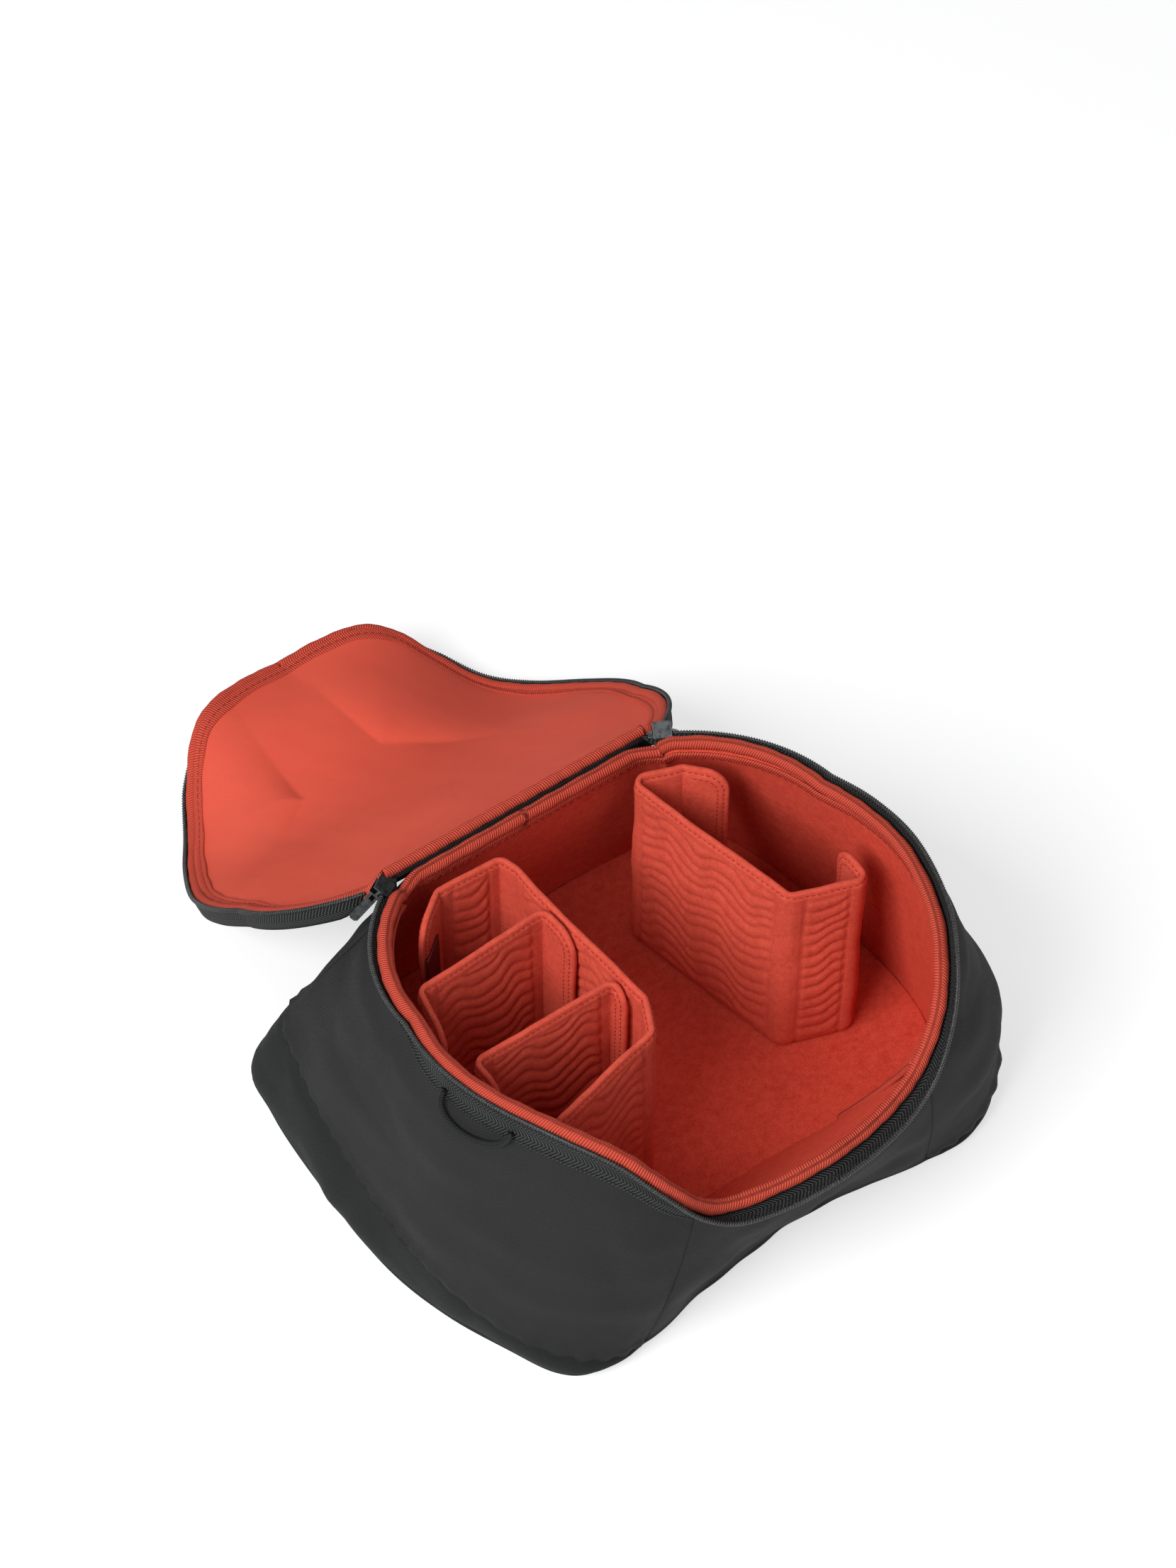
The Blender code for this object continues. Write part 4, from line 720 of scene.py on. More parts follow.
def metal_look(name, slot):
    """Dark plated zinc, a little rubbed."""
    look = Look(name, slot, 0.3, metallic=1.0)
    cloud = look.noise(300.0, 4.0, 0.6)
    look.colour(look.ramp(cloud, (0.3, linear(44, 46, 47)), (0.75, linear(96, 98, 98))))
    look.rough(cloud, 0.25, 0.48)
    look.bump((look.noise(1800.0, 3.0), 0.00004))
    return look.material


def coil_look(name, slot):
    """Black nylon monofilament, coloured grey well above black: painted highlight that stands in for the
    glints on its loops.
    """
    look = Look(name, slot, 0.35, specular=0.45)
    # Grey in place of black: painted highlight for the loops' glints.
    look.colour(look.ramp(look.noise(700.0, 2.0), (0.3, linear(40, 41, 41)), (0.7, linear(70, 71, 71))))
    look.bump((look.noise(2500.0, 2.0), 0.00003))
    return look.material


BLACK, DARK_RED = linear(18, 18, 18), linear(140, 32, 25)
SHELL = cloth_look("shell_nylon", "shell_cloth", linear(38, 38, 38), linear(46, 46, 46))
# The band round the foot, and the board under the bag, use the shell's nylon made darker and a little cooler:
# painted shade of the undercut foot.
BASE = cloth_look("base_nylon", "base_cloth", linear(30, 32, 32), linear(40, 42, 42))
# The lid's outer cloth, the hinge strip and the fold use the shell nylon made darker: painted shade for the
# lid's underside and the gap between the hinge rolls.
LID_CLOTH = cloth_look("lid_nylon", "shell_cloth", linear(28, 28, 28), linear(36, 36, 36))
TAPE = tape_look("zip_tape_weave", "zip_tape", linear(36, 37, 37), linear(62, 63, 63))
CORD = ribbed_look("loop_cord", "zip_tape", linear(40, 41, 41), linear(58, 59, 59), BLACK, 0.0012)
COIL = coil_look("coil_nylon", "zip_coil")
BINDING = ribbed_look(
    "red_grosgrain", "red_binding", linear(204, 78, 60), linear(222, 96, 75), linear(150, 40, 30)
)
LINING = knit_look("lid_knit", "red_lining", linear(212, 82, 63), linear(222, 93, 73), linear(196, 70, 54))
FLEECE = fleece_look(
    "wall_fleece", "red_fleece", linear(208, 76, 58), linear(224, 94, 74), linear(180, 54, 42)
)
QUILT = fleece_look(
    "divider_fleece", "red_quilt", linear(208, 82, 64), linear(222, 98, 77), linear(184, 62, 48),
    fuzz=0.00014, sheen=0.2, mottle=300.0,
)
THREAD = thread_look("red_thread", "red_binding", DARK_RED, linear(178, 54, 42))
BLACK_THREAD = thread_look("black_thread", "zip_tape", BLACK, linear(40, 40, 40))
HOOKS = hook_look("red_hooks", "red_hook", linear(96, 18, 17), linear(140, 34, 30))
METAL = metal_look("plated_metal", "slider_metal")

# Outer cloth
COLUMNS_PER_RIB = 12
# Depths of the folds and creases, of what hangs over the lower seam, and of the puckers and roll along it
FOLD_DEPTH, CREASE_DEPTH, HANG_DEPTH, PUCKER_DEPTH, SEAM_ROLL = 0.0034, 0.0022, 0.0012, 0.0007, 0.0014
PUCKER_PITCH, MOST_SUNK, BELOW_TAPE = 0.013, 0.0004, 0.0004
ZIP_SHARES = 0.78, 0.91


def places(first, last, trim=0.0):
    """Places round the body from one rib to another, held back a little at both ends."""
    at = np.linspace(first, last, int(round((last - first) * COLUMNS_PER_RIB)) + 1)
    at[0] += trim
    at[-1] -= trim
    return at


def cloth_panel(name, look, ends, low, high, rows, seed, pucker_low=True):
    """A sewn panel: the solid's face, let out by soft folds, drawn in along its seams."""
    ats = places(*ends, trim=0.006)
    shares = low + (high - low) * np.linspace(0, 1, rows + 1)
    face = np.stack([outside(at, shares) for at in ats])
    outs = -each(ats, "into")[:, None]
    u = np.linspace(0, 1, len(ats))[:, None]
    v = np.linspace(0, 1, rows + 1)[None]
    run = lengths(face[:, rows // 2])[:, None]
    zipped = column_ends(ats)[:, None]
    window = np.sin(np.pi * np.clip(u, 0, 1)) ** 0.35 * np.sin(np.pi * np.clip(v, 0, 1)) ** 0.5
    window = window * (1 - 0.96 * step_between(v, *ZIP_SHARES) * zipped)
    folds = soft_noise(face * np.array([1.0, 1.0, 2.2]), 0.13, seed, 2) * FOLD_DEPTH
    folds += np.abs(soft_noise(face * np.array([1.0, 1.0, 0.7]), 0.08, seed + 1, 2)) * CREASE_DEPTH
    hang = soft_noise(run[..., None] * np.array([1.0, 0.6, 0.0]) + v[..., None] * 0.05, 0.05, seed + 2, 2)
    folds += HANG_DEPTH * hang * np.exp(-(((v - 0.1) / 0.25) ** 2))
    waves = np.sin(2 * np.pi * run / PUCKER_PITCH + 2 * np.sin(run * 40))
    pucker = PUCKER_DEPTH * np.exp(-v / 0.06) * waves * pucker_low
    roll = SEAM_ROLL * (np.exp(-((v / 0.035) ** 2)) * pucker_low)
    below_tape = -BELOW_TAPE * np.exp(-(((1 - v - 0.06) / 0.03) ** 2)) * zipped
    lift = np.maximum(folds * window + pucker + roll + 0.0006 * window, -MOST_SUNK) + below_tape
    fade = np.clip(np.minimum(u, 1 - u) * 60, 0, 1)
    outer = face + outs * (lift * fade)[..., None]
    return shell(name, outer, face - outs * PANEL_THICK, look, name.replace("_cloth", ""))


def column_ends(ats):
    """0 at places along the hinge, 1 where the zip runs."""
    return np.array([hinge_end(column(at).rib) for at in ats])


def outer_cloth():
    """The four panels and the band round the foot."""
    side_low = SEAM_SHARE + 0.002
    cloth_panel("rear_panel_cloth", SHELL, (-2, 2), side_low, 1.0, 30, 11)
    cloth_panel("right_panel_cloth", SHELL, (2, 10), side_low, 1.0, 44, 12)
    cloth_panel("left_panel_cloth", SHELL, (16, 24), side_low, 1.0, 44, 13)
    cloth_panel("front_panel_cloth", SHELL, (10, 16), 0.0, 1.0, 44, 14, False)
    cloth_panel("base_gusset_cloth", BASE, (-10, 10), 0.0, SEAM_SHARE - 0.001, 16, 15, False)


outer_cloth()


def plate_piece(name, node, outline, low, high, look, edge, dip=0.0):
    """A soft-edged board from its outline seen from above."""
    outline = outline[:, :2]
    centre = outline.mean(0)
    n = len(outline)
    inset = outline - edge * unit_rows(outline - centre)
    rings = []
    for share in (0.30, 0.55, 0.75, 0.88, 0.95, 1.0):
        ring = centre + (inset - centre) * share
        uneven = 0.5 + 0.5 * soft_noise(np.column_stack([ring, np.zeros(n)]), 0.05, 5)
        rings.append(np.column_stack([ring, high - dip * uneven]))
    for turn in (30, 60, 90):
        t = math.radians(turn)
        ring = inset + (outline - inset) * math.sin(t)
        rings.append(np.column_stack([ring, np.full(n, high - edge * (1 - math.cos(t)))]))
    rings.append(np.column_stack([outline, np.full(n, low)]))
    rings.append(np.column_stack([centre + (outline - centre) * 0.5, np.full(n, low)]))
    rows = len(rings)
    grid = np.stack(rings, 1).reshape(-1, 3)
    faces = grid_faces(n, rows, True).tolist()
    hub_top, hub_low = len(grid), len(grid) + 1
    grid = np.vstack([grid, [*centre, high - dip * 0.5], [*centre, low]])
    for i in range(n):
        j = (i + 1) % n
        faces.append([hub_top, j * rows, i * rows])
        faces.append([hub_low, i * rows + rows - 1, j * rows + rows - 1])
    return tidy(make(name, grid, faces, grid[:, :2], look, node))


def round_places(step):
    return np.arange(0, 2 * RIBS, step)


def boards():
    """The stiff board under the bag, and the fleece floor pad on it."""
    ats = round_places(0.125)
    low = BASE_THICK + CLEARANCE
    inner = each(ats, "wall_foot") + each(ats, "into") * 2 * CLEARANCE
    plate_piece("base_board", "base_panel", each(ats, "foot"), 0.0, BASE_THICK, BASE, 0.0008)
    floor = plate_piece("floor_fleece", "floor_pad", inner, low, low + FLOOR_THICK, FLEECE, 0.002, dip=0.0008)


boards()


WALL_PUFF, WALL_UNEVEN = 0.0012, 0.0008


def wall_fleece():
    """The lined foam walls."""
    walls = ("rear", (-2, 2)), ("right", (2, 10)), ("front", (10, 16)), ("left", (16, 24))
    shares = np.linspace(0, 1, 45)
    v = shares[None, :, None]
    for seed, (wall, ends) in enumerate(walls):
        ats = places(*ends, trim=0.003)
        inner = np.stack([lined(at, shares) for at in ats])
        intos = each(ats, "into")[:, None]
        u = np.linspace(0, 1, len(ats))[:, None, None]
        edge = np.clip(np.minimum(u, 1 - u) * 30, 0, 1)
        puff = WALL_PUFF * np.sin(np.pi * v) ** 0.6
        puff = puff + WALL_UNEVEN * soft_noise(inner, 0.07, 30 + seed, 2)[..., None] * np.sin(np.pi * v)
        inner = inner + intos * puff * edge
        outer = np.stack([outside(at, shares * 0.95) for at in ats]) + intos * (PANEL_THICK + CLEARANCE)
        outer[:, -1] = each(ats, "pad_back")
        tidy(shell(f"{wall}_wall_fleece", inner, outer, FLEECE, f"{wall}_wall_pad"))


wall_fleece()


# Bindings
def swollen(run, high, wide, seed, count=16, power=0.9):
    """The section of a bound edge at each place, swelling and tightening between its stitches."""
    slow = np.sin(2 * np.pi * run / 0.019 + 3 * np.sin(run * 31 + seed))
    wave = slow + 0.4 * np.sin(run * 2 * np.pi / 0.007)
    return oval(high, wide, count, power)[None] * (1 + 0.05 * wave)[:, None, None]


# The flat lip under the roll: where it starts and ends below the wall's top, how far it stands out of the
# lining in its middle and at its edges, and its thickness.
LIP_FROM, LIP_TO, LIP_OUT, LIP_EDGE_OUT, LIP_THICK = -0.0005, 0.0062, 0.0013, 0.0005, 0.0008
ZIGZAG_DOWN, ZIGZAG_OUT, ZIGZAG_SWAY = 0.0042, 0.0014, 0.0010


def rim_binding():
    """The ribbed roll over the raw edges, its flat lip on the lining, and the zigzag that holds it."""
    ats = round_places(1 / 16)
    centres, ups, intos = each(ats, "binding"), each(ats, "top_up"), each(ats, "top_into")
    profile = swollen(lengths(centres), ROLL_HALF_HIGH, ROLL_HALF_WIDE, 1)
    pressed = [sweep("rim_binding_tape", centres, ups, intos, profile, BINDING, "rim_binding", closed=True)]
    lip = []
    for at in ats:
        row = [lined_below(at, depth) for depth in np.linspace(LIP_FROM, LIP_TO, 7)]
        outs = [LIP_EDGE_OUT, *[LIP_OUT] * 5, LIP_EDGE_OUT]
        lip.append([point + way * out for (point, way), out in zip(row, outs)])
    lip = np.array(lip)
    backs = lip - np.stack([lined_below(at, 0.003)[1] for at in ats])[:, None] * LIP_THICK
    pressed.append(tidy(shell("rim_lip", lip, backs, BINDING, None, closed=True, body="insert_body")))
    line, ways = (np.stack(rows) for rows in zip(*[lined_below(at, ZIGZAG_DOWN) for at in ats]))
    line = line + ways * ZIGZAG_OUT
    zigzag = stitches(
        "rim_zigzag_stitches", line, ways, THREAD, "insert_body", 0.0022, 0.0001,
        closed=True, zigzag=ZIGZAG_SWAY,
    )
    for piece in [*pressed, zigzag]:
        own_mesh(piece)


rim_binding()


CORNER_ROLL_HIGH, CORNER_ROLL_WIDE, CORNER_ROLL_OUT = 0.0016, 0.0026, 0.0018


def corner_bindings():
    """The bound seams down the two front inside corners."""
    for node, side in (("right_corner_binding", 1), ("left_corner_binding", -1)):
        centres, intos = [], []
        for part in np.linspace(0, 1, 60):
            rib = 9.9 + 0.4 * part
            at = rib if side > 0 else 2 * RIBS - rib
            c = column(at)
            centres.append(lined(at, [0.96 - 0.66 * part])[0] + c.top_into * CORNER_ROLL_OUT)
            intos.append(c.top_into)
        centres = np.array(centres)
        ups, sides = frames_along(centres, np.mean(intos, 0))
        profile = swollen(lengths(centres), CORNER_ROLL_HIGH, CORNER_ROLL_WIDE, 3)
        sweep(node + "_tape", centres, ups, sides, profile, BINDING, node)


corner_bindings()


# The body's zip
ZIP_RIB_STEP = 1 / 16
def arc_rib(length):
    """The rib at this distance from the hinge's end, round the corner's arc."""
    return REAR_SEAM_RIB + 2 * length / CORNER_RADIUS / HINGE_TURN


def zip_run(first):
    """Places round the body from a rib on the right, past the front, to the same rib on the left."""
    inner = np.arange(math.ceil(first / ZIP_RIB_STEP + 0.5) * ZIP_RIB_STEP, RIBS + 1e-9, ZIP_RIB_STEP)
    ribs = np.concatenate([[first], inner])
    return np.concatenate([ribs, 2 * RIBS - ribs[-2::-1]])


def tape_piece(name, rows, node):
    """A strip of tape through rows of points (place along it, place across it), with woven edges."""
    faces = unit_rows(np.cross(np.gradient(rows, axis=0), np.gradient(rows, axis=1)))
    t = np.linspace(-1, 1, rows.shape[1])[None, :, None]
    half = TAPE_THICK / 2 * (1 - 0.35 * np.abs(t) ** 3)
    return tidy(shell(name, rows + faces * half, rows - faces * half, TAPE, node))


COIL_PITCH, COIL_WIRE, COIL_STEPS, WIRE_SIDES, CORE_SIDES = 0.0015, 0.00036, 10, 5, 6


def coil_piece(name, centres, ups, sides, node):
    """The coil of a zip: one monofilament wound in round loops round a cord."""
    run = lengths(centres)
    turns = int(run[-1] / COIL_PITCH)
    t = np.arange(turns * COIL_STEPS + 1) / COIL_STEPS
    middle, a, b = (read_rows(rows, t / turns * run[-1], run) for rows in (centres, ups, sides))
    reach, angle = CHAIN_RADIUS - COIL_WIRE, 2 * np.pi * t
    line = middle + a * (reach * np.cos(angle))[:, None] + b * (reach * np.sin(angle))[:, None]
    along = unit_rows(np.gradient(line, axis=0))
    out = squared(unit_rows(line - middle), along)
    ring = rings_round(line, out, np.cross(along, out), COIL_WIRE, WIRE_SIDES)
    core = rings_round(centres, ups, sides, CHAIN_RADIUS - 1.6 * COIL_WIRE, CORE_SIDES)
    points = np.vstack([ring.reshape(-1, 3), core.reshape(-1, 3)])
    faces = []
    parts = (0, WIRE_SIDES, len(ring)), (len(ring) * WIRE_SIDES, CORE_SIDES, len(core))
    for start, size, count in parts:
        faces += grid_faces(count, size, False, True, start).tolist()
    for start, size, count in parts:
        faces.append([start + i for i in range(size)])
        faces.append([start + (count - 1) * size + i for i in range(size)][::-1])
    return tidy(make(name, points, faces, np.zeros((len(points), 2)), COIL, node))


ON_CLOTH_LEAST, ON_CLOTH_MORE, TAPE_OFF_CLOTH, TAPE_OFF_TOP = 0.0016, 0.0066, 0.0007, 0.0005


def tape_across(c):
    """The tape from its lower edge, lying on the cloth, up to the coil."""
    wider = step_between(c.rib, 3.0, 4.6) * (1 - step_between(c.rib, 9.0, 10.4))
    wide = ON_CLOTH_LEAST + ON_CLOTH_MORE * wider
    reach = 1 - np.linspace(wide, 0.0004, 6) / np.linalg.norm(c.top - c.seam) * (1 - SEAM_SHARE)
    on_cloth = outside_of(c, reach) - c.into * TAPE_OFF_CLOTH
    top = c.top - c.into * TAPE_OFF_TOP
    steps = np.linspace(0, 1, 9)[1:, None]
    return np.vstack([on_cloth, top + (c.edge - top) * steps])


def body_zip():
    """The zip's half on the body: its tape, the rows of stitches along it, and the coil."""
    run = zip_run(1.94)
    edge, along = each(run, "edge"), each(run, "along")
    square = squared(edge - each(run, "top"), along)
    bands = np.stack([tape_across(column(at)) for at in run])
    tape_piece("body_zip_weave", bands, "body_zip_tape")
    zipped = np.array([column(at).rib >= arc_rib(CHAIN_START) for at in run])
    ways = square[zipped], np.cross(along, square)[zipped]
    coil_piece("body_zip_loops", edge[zipped], *ways, "body_zip_coil")
    sides = np.array([column(at).side for at in run])
    for number, (row, outer) in enumerate(((-3, 1), (-4, 1), (-3, -1), (-4, -1), (1, 1))):
        face = unit_rows(np.cross(along, bands[:, row + 1] - bands[:, row - 1])) * (-outer * sides)[:, None]
        line = bands[:, row] + face * (TAPE_THICK / 2)
        stitches(f"body_tape_stitches_{number}", line, face, BLACK_THREAD, "insert_body", 0.0017, 0.0007)


body_zip()


# The lid, built shut and then thrown open
OPEN = np.array(Matrix.Rotation(-LID_OPEN_ANGLE, 3, "X"))


def opened(points):
    """Points of the shut lid, with the lid thrown open."""
    return (np.asarray(points, float) - HINGE_POINT) @ OPEN.T + HINGE_POINT


def opened_ways(ways):
    """Ways of the shut lid, with the lid thrown open."""
    return np.asarray(ways, float) @ OPEN.T


def lid_edge(c):
    """Where the lid's coil lies when it is shut, on the body's coil."""
    return c.edge + c.up * (2 * CHAIN_RADIUS + LID_CHAIN_GAP)


@lru_cache(None)
def lid_pad_edge(at):
    """The outline of the lining, with the lid shut."""
    c = column(at)
    off = LID_HINGE_BINDING_OFF + LID_HINGE_BINDING_RADIUS + CLEARANCE
    near = placed(0.0, off, HINGE_HEIGHT + FOLD_RADIUS / 2)
    near[0] = rim_edge(min(c.rib, REAR_SEAM_RIB))[0] * c.side
    if c.rib <= REAR_SEAM_RIB:
        return near
    inset = CHAIN_RADIUS + 2 * CLEARANCE + 2 * LID_BINDING_RADIUS
    far = lid_edge(c) + c.into * inset + c.up * LID_BINDING_RISE
    part = step_between(c.rib, REAR_SEAM_RIB, REAR_SEAM_RIB + 0.3)
    return near * (1 - part) + far * part


def lid_pad_thick(rib):
    """The thickness of the lid's padding at its edge."""
    part = step_between(rib, REAR_SEAM_RIB, REAR_SEAM_RIB + 0.6)
    return LID_PAD_HINGE_THICK * (1 - part) + LID_PAD_THICK * part


LID_CENTRE = placed(0.0, LID_CENTRE_DEPTH, HINGE_HEIGHT + LID_CROWN)
LID_STEP = 1 / 12
LID_ATS = np.array([at for at in np.arange(0, 2 * RIBS, LID_STEP) if not 2.01 < min(at, 2 * RIBS - at) < 2.2])


def calmed(heights, keep=9):
    """Values round the lid with their quick changes taken out."""
    waves = np.fft.rfft(heights)
    waves *= np.exp(-((np.arange(len(waves)) / keep) ** 2))
    return np.fft.irfft(waves, len(heights))


LID_EDGE = np.stack([lid_pad_edge(at) for at in LID_ATS])


def spread_terms(points):
    """The powers of x and y whose sum is the lid's smooth height."""
    x, y = points[..., 0] / 0.15, (points[..., 1] - LID_CENTRE[1]) / 0.15
    return np.stack([x**i * y**j for i in range(0, 9, 2) for j in range(9 - i)], -1)


def ruled_face(at, shares):
    """Straight lines from the middle of the lid to its outline, which the smooth face is fitted to."""
    s = np.asarray(shares, float)[:, None]
    points = LID_CENTRE + (lid_pad_edge(at) - LID_CENTRE) * s
    points[:, 2] = LID_CENTRE[2] + (points[:, 2] - LID_CENTRE[2]) * s[:, 0] ** 0.7
    return points


RULED = np.concatenate([ruled_face(at, np.linspace(0.05, 1, 20)) for at in LID_ATS])
LID_POWERS = np.linalg.lstsq(spread_terms(RULED), RULED[:, 2], rcond=None)[0]


def lining_face(at, shares):
    """The lining's face from the middle of the lid at 0 to its outline at 1, with the lid shut."""
    s = np.asarray(shares, float)
    edge = lid_pad_edge(at)
    points = LID_CENTRE + (edge - LID_CENTRE) * s[:, None]
    points[:, 2] = spread_terms(points) @ LID_POWERS + (edge[2] - spread_terms(edge) @ LID_POWERS) * s**9
    return points


def lining_back(at, shares):
    """The back of the lid's padding."""
    s = np.asarray(shares, float)
    thick = lid_pad_thick(column(at).rib) * s + LID_PAD_THICK * (1 - s)
    points = lining_face(at, shares)
    points[:, 2] += thick
    return points


def lid_top_edge(at):
    """Where the lid's outer cloth meets its zip tape."""
    c = column(at)
    near = lid_pad_edge(at) - c.into * CLEARANCE + np.array([0.0, 0.0, lid_pad_thick(c.rib) + CLEARANCE])
    height = LID_EDGE_HEIGHT * step_between(c.rib, REAR_SEAM_RIB + 0.15, REAR_SEAM_RIB + 0.67)
    far = lid_edge(c) + c.into * LID_EDGE_IN + c.up * height
    part = step_between(c.rib, REAR_SEAM_RIB, REAR_SEAM_RIB + 0.3)
    return near * (1 - part) + far * part


# The relief's crease, as shares of the rim's half width and depth, then its measures
RELIEF, RELIEF_ASIDE = [(0.168, 0.857), (0.1975, 0.664), (0.417, 0.580)], -0.019
RELIEF_WIDE, RELIEF_SPREAD, RELIEF_DEPTH, RELIEF_FADE = 0.010, 0.036, 0.0088, (0.030, 0.105)


def relief(points):
    """How far the moulded relief stands out: it rises from a crease bent like a V, and dies away."""
    front, bend, rear = [placed(a * RIM_HALF_WIDTH, f * RIM_DEPTH, 0.0)[:2] for a, f in RELIEF]
    here = np.stack([np.abs(points[..., 0] - RELIEF_ASIDE), points[..., 1]], -1) - bend
    depths = []
    for arm, side in ((unit(front - bend), 1), (unit(rear - bend), -1)):
        depths.append(side * (arm[0] * here[..., 1] - arm[1] * here[..., 0]))
    depth = np.maximum(np.minimum(*depths), 0)
    away = np.linalg.norm(here, axis=-1)
    wide = RELIEF_WIDE * (1 + (away / RELIEF_SPREAD) ** 2)
    return RELIEF_DEPTH * (1 - np.exp(-depth / wide)) * (1 - step_between(away, *RELIEF_FADE))


def lining_spot(points):
    """The lining's face under points given from above, with the lid shut."""
    off = points[:, :2] - LID_CENTRE[:2]
    way = np.unwrap(np.arctan2(LID_EDGE[:, 0] - LID_CENTRE[0], LID_CENTRE[1] - LID_EDGE[:, 1]))
    way = np.append(way, way[0] + math.copysign(2 * math.pi, way[-1] - way[0]))
    at = np.append(LID_ATS, 2 * RIBS)
    turn = np.arctan2(off[:, 0], -off[:, 1])
    low, high = min(way[0], way[-1]), max(way[0], way[-1])
    turn = np.where(turn < low, turn + 2 * math.pi, np.where(turn > high, turn - 2 * math.pi, turn))
    order = slice(None) if way[-1] > way[0] else slice(None, None, -1)
    places_at = np.interp(turn, way[order], at[order])
    spots = []
    for here, spot in zip(off, places_at):
        reach = np.linalg.norm(lid_pad_edge(float(spot))[:2] - LID_CENTRE[:2])
        spots.append(lining_face(float(spot), [np.linalg.norm(here) / reach])[0])
    spots = np.array(spots)
    spots[:, 2] -= relief(spots)
    return spots


def dish(name, lower, upper, look, node):
    """A closed dish between two faces given as grids (place round, ring), opened with the lid."""
    n, m = lower.shape[:2]
    lower, upper = opened(lower), opened(upper)
    points = np.vstack([lower.reshape(-1, 3), upper.reshape(-1, 3)])
    total = n * m
    faces = np.vstack([grid_faces(n, m, True), grid_faces(n, m, True, start=total, flip=True)]).tolist()
    hubs = (len(points), len(points) + 1)
    centre_low, centre_high = lower[:, 0].mean(0), upper[:, 0].mean(0)
    points = np.vstack([points, centre_low, centre_high])
    for i in range(n):
        j = (i + 1) % n
        faces.append([hubs[0], i * m, j * m])
        faces.append([hubs[1], total + j * m, total + i * m])
        faces.append([i * m + m - 1, j * m + m - 1, total + j * m + m - 1, total + i * m + m - 1])
    closed = (points - HINGE_POINT) @ OPEN + HINGE_POINT
    return tidy(make(name, points, faces, closed[:, :2], look, node))


# The border sewn on the lining: how far in from the edge, and how far out of the lining, across it
BORDER_ROWS = (
    (-0.0005, 0.0010), (0.0010, 0.0011), (0.0024, 0.0010), (0.0030, 0.0006),
    (0.0036, 0.0010), (0.0052, 0.0012), (0.0057, 0.0008), (0.0059, 0.0),
)
BORDER_THICK = 0.0007


def lid_lining():
    """The moulded lining, the ribbed border sewn round it, and the border's stitches."""
    shares = np.concatenate([np.linspace(0.02, 0.88, 68), np.linspace(0.89, 1.0, 14)])
    face = np.stack([lining_face(at, shares) for at in LID_ATS])
    back = np.stack([lining_back(at, shares) for at in LID_ATS])
    face[..., 2] -= relief(face)
    face[..., 2] += 0.0007 * soft_noise(face, 0.08, 50) * np.sin(np.pi * shares)[None]
    dish("lid_lining_knit", face, back, LINING, "lid_lining")
    along = unit_rows(np.roll(LID_EDGE, -1, 0) - np.roll(LID_EDGE, 1, 0))
    into = np.cross(along, [0.0, 0.0, 1.0])
    into = unit_rows(into * np.sign(np.sum(into * (LID_CENTRE - LID_EDGE), 1))[:, None])
    into = unit_rows(np.stack([calmed(into[:, k], 30) for k in range(3)], -1))
    run = lengths(LID_EDGE)
    wobble = 0.0003 * np.sin(2 * np.pi * run / 0.03 + 2 * np.sin(run * 20))
    rows = []
    for depth, lift in BORDER_ROWS:
        spot = lining_spot(LID_EDGE + into * (depth + wobble * (depth > 0.005))[:, None])
        spot[:, 2] -= lift
        rows.append(spot)
    outer = np.stack(rows, 1)
    inner = outer + np.array([0.0, 0.0, BORDER_THICK])
    tidy(shell("lid_border_band", opened(outer), opened(inner), BINDING, None, closed=True, body="lid"))
    line = outer[:, 3] - [0.0, 0.0, 0.0002]
    down = opened_ways(np.zeros_like(line) - [0.0, 0.0, 1.0])
    stitches("lid_border_stitches", opened(line), down, THREAD, "lid", 0.0030, 0.0014, closed=True)


TRIM_IN, TRIM_UP, TRIM_RIBS = 0.0042, 0.0020, (2.0, 2.42)
HINGE_ROLL_OFF, HINGE_ROLL_LEVEL, HINGE_ROLL_RADIUS, TRIM_SLIMMER = 0.0055, -0.0010, 0.0030, 0.0004
TUCK_IN, TUCK_UP, TUCK_RIBS = 0.0026, 0.0034, (8.9, 10.0)


def lid_trim_line(at):
    """The middle of the lid's ribbed edge, which runs into the hinge's own binding at its ends."""
    c = column(at)
    far = lid_edge(c) + c.into * TRIM_IN + c.up * TRIM_UP
    near = placed(c.edge[0], HINGE_ROLL_OFF, HINGE_ROLL_LEVEL + HINGE_HEIGHT)
    part = step_between(c.rib, *TRIM_RIBS)
    return near * (1 - part) + far * part


def tucked(c):
    """How far the lid's zip curls under its edge round the front corners."""
    return (c.into * TUCK_IN + c.up * TUCK_UP) * step_between(c.rib, *TUCK_RIBS)


def lid_shell():
    """The outer cloth of the lid, from its crown down to the zip."""
    shares = np.linspace(0.02, 1.0, 30)
    under = []
    for at in LID_ATS:
        back = lining_back(at, shares)
        back[:, 2] += CLEARANCE + LID_DOME * (1 - shares**2)
        steps = np.linspace(0, 1, 10)[1:, None]
        under.append(np.vstack([back, back[-1] + (lid_top_edge(at) - back[-1]) * steps]))
    under = np.stack(under)
    over = under + np.array([0.0, 0.0, LID_SHELL_THICK])
    window = np.sin(np.pi * np.linspace(0, 1, over.shape[1]))[None]
    over[..., 2] += 0.0012 * (0.5 + 0.5 * soft_noise(over, 0.09, 61, 2)) * window
    dish("lid_shell_cloth", under, over, LID_CLOTH, "lid_shell")


def sides_of(ats):
    """The ways square to the rim and to its way up."""
    return np.stack([unit(np.cross(column(at).along, column(at).up)) for at in ats])


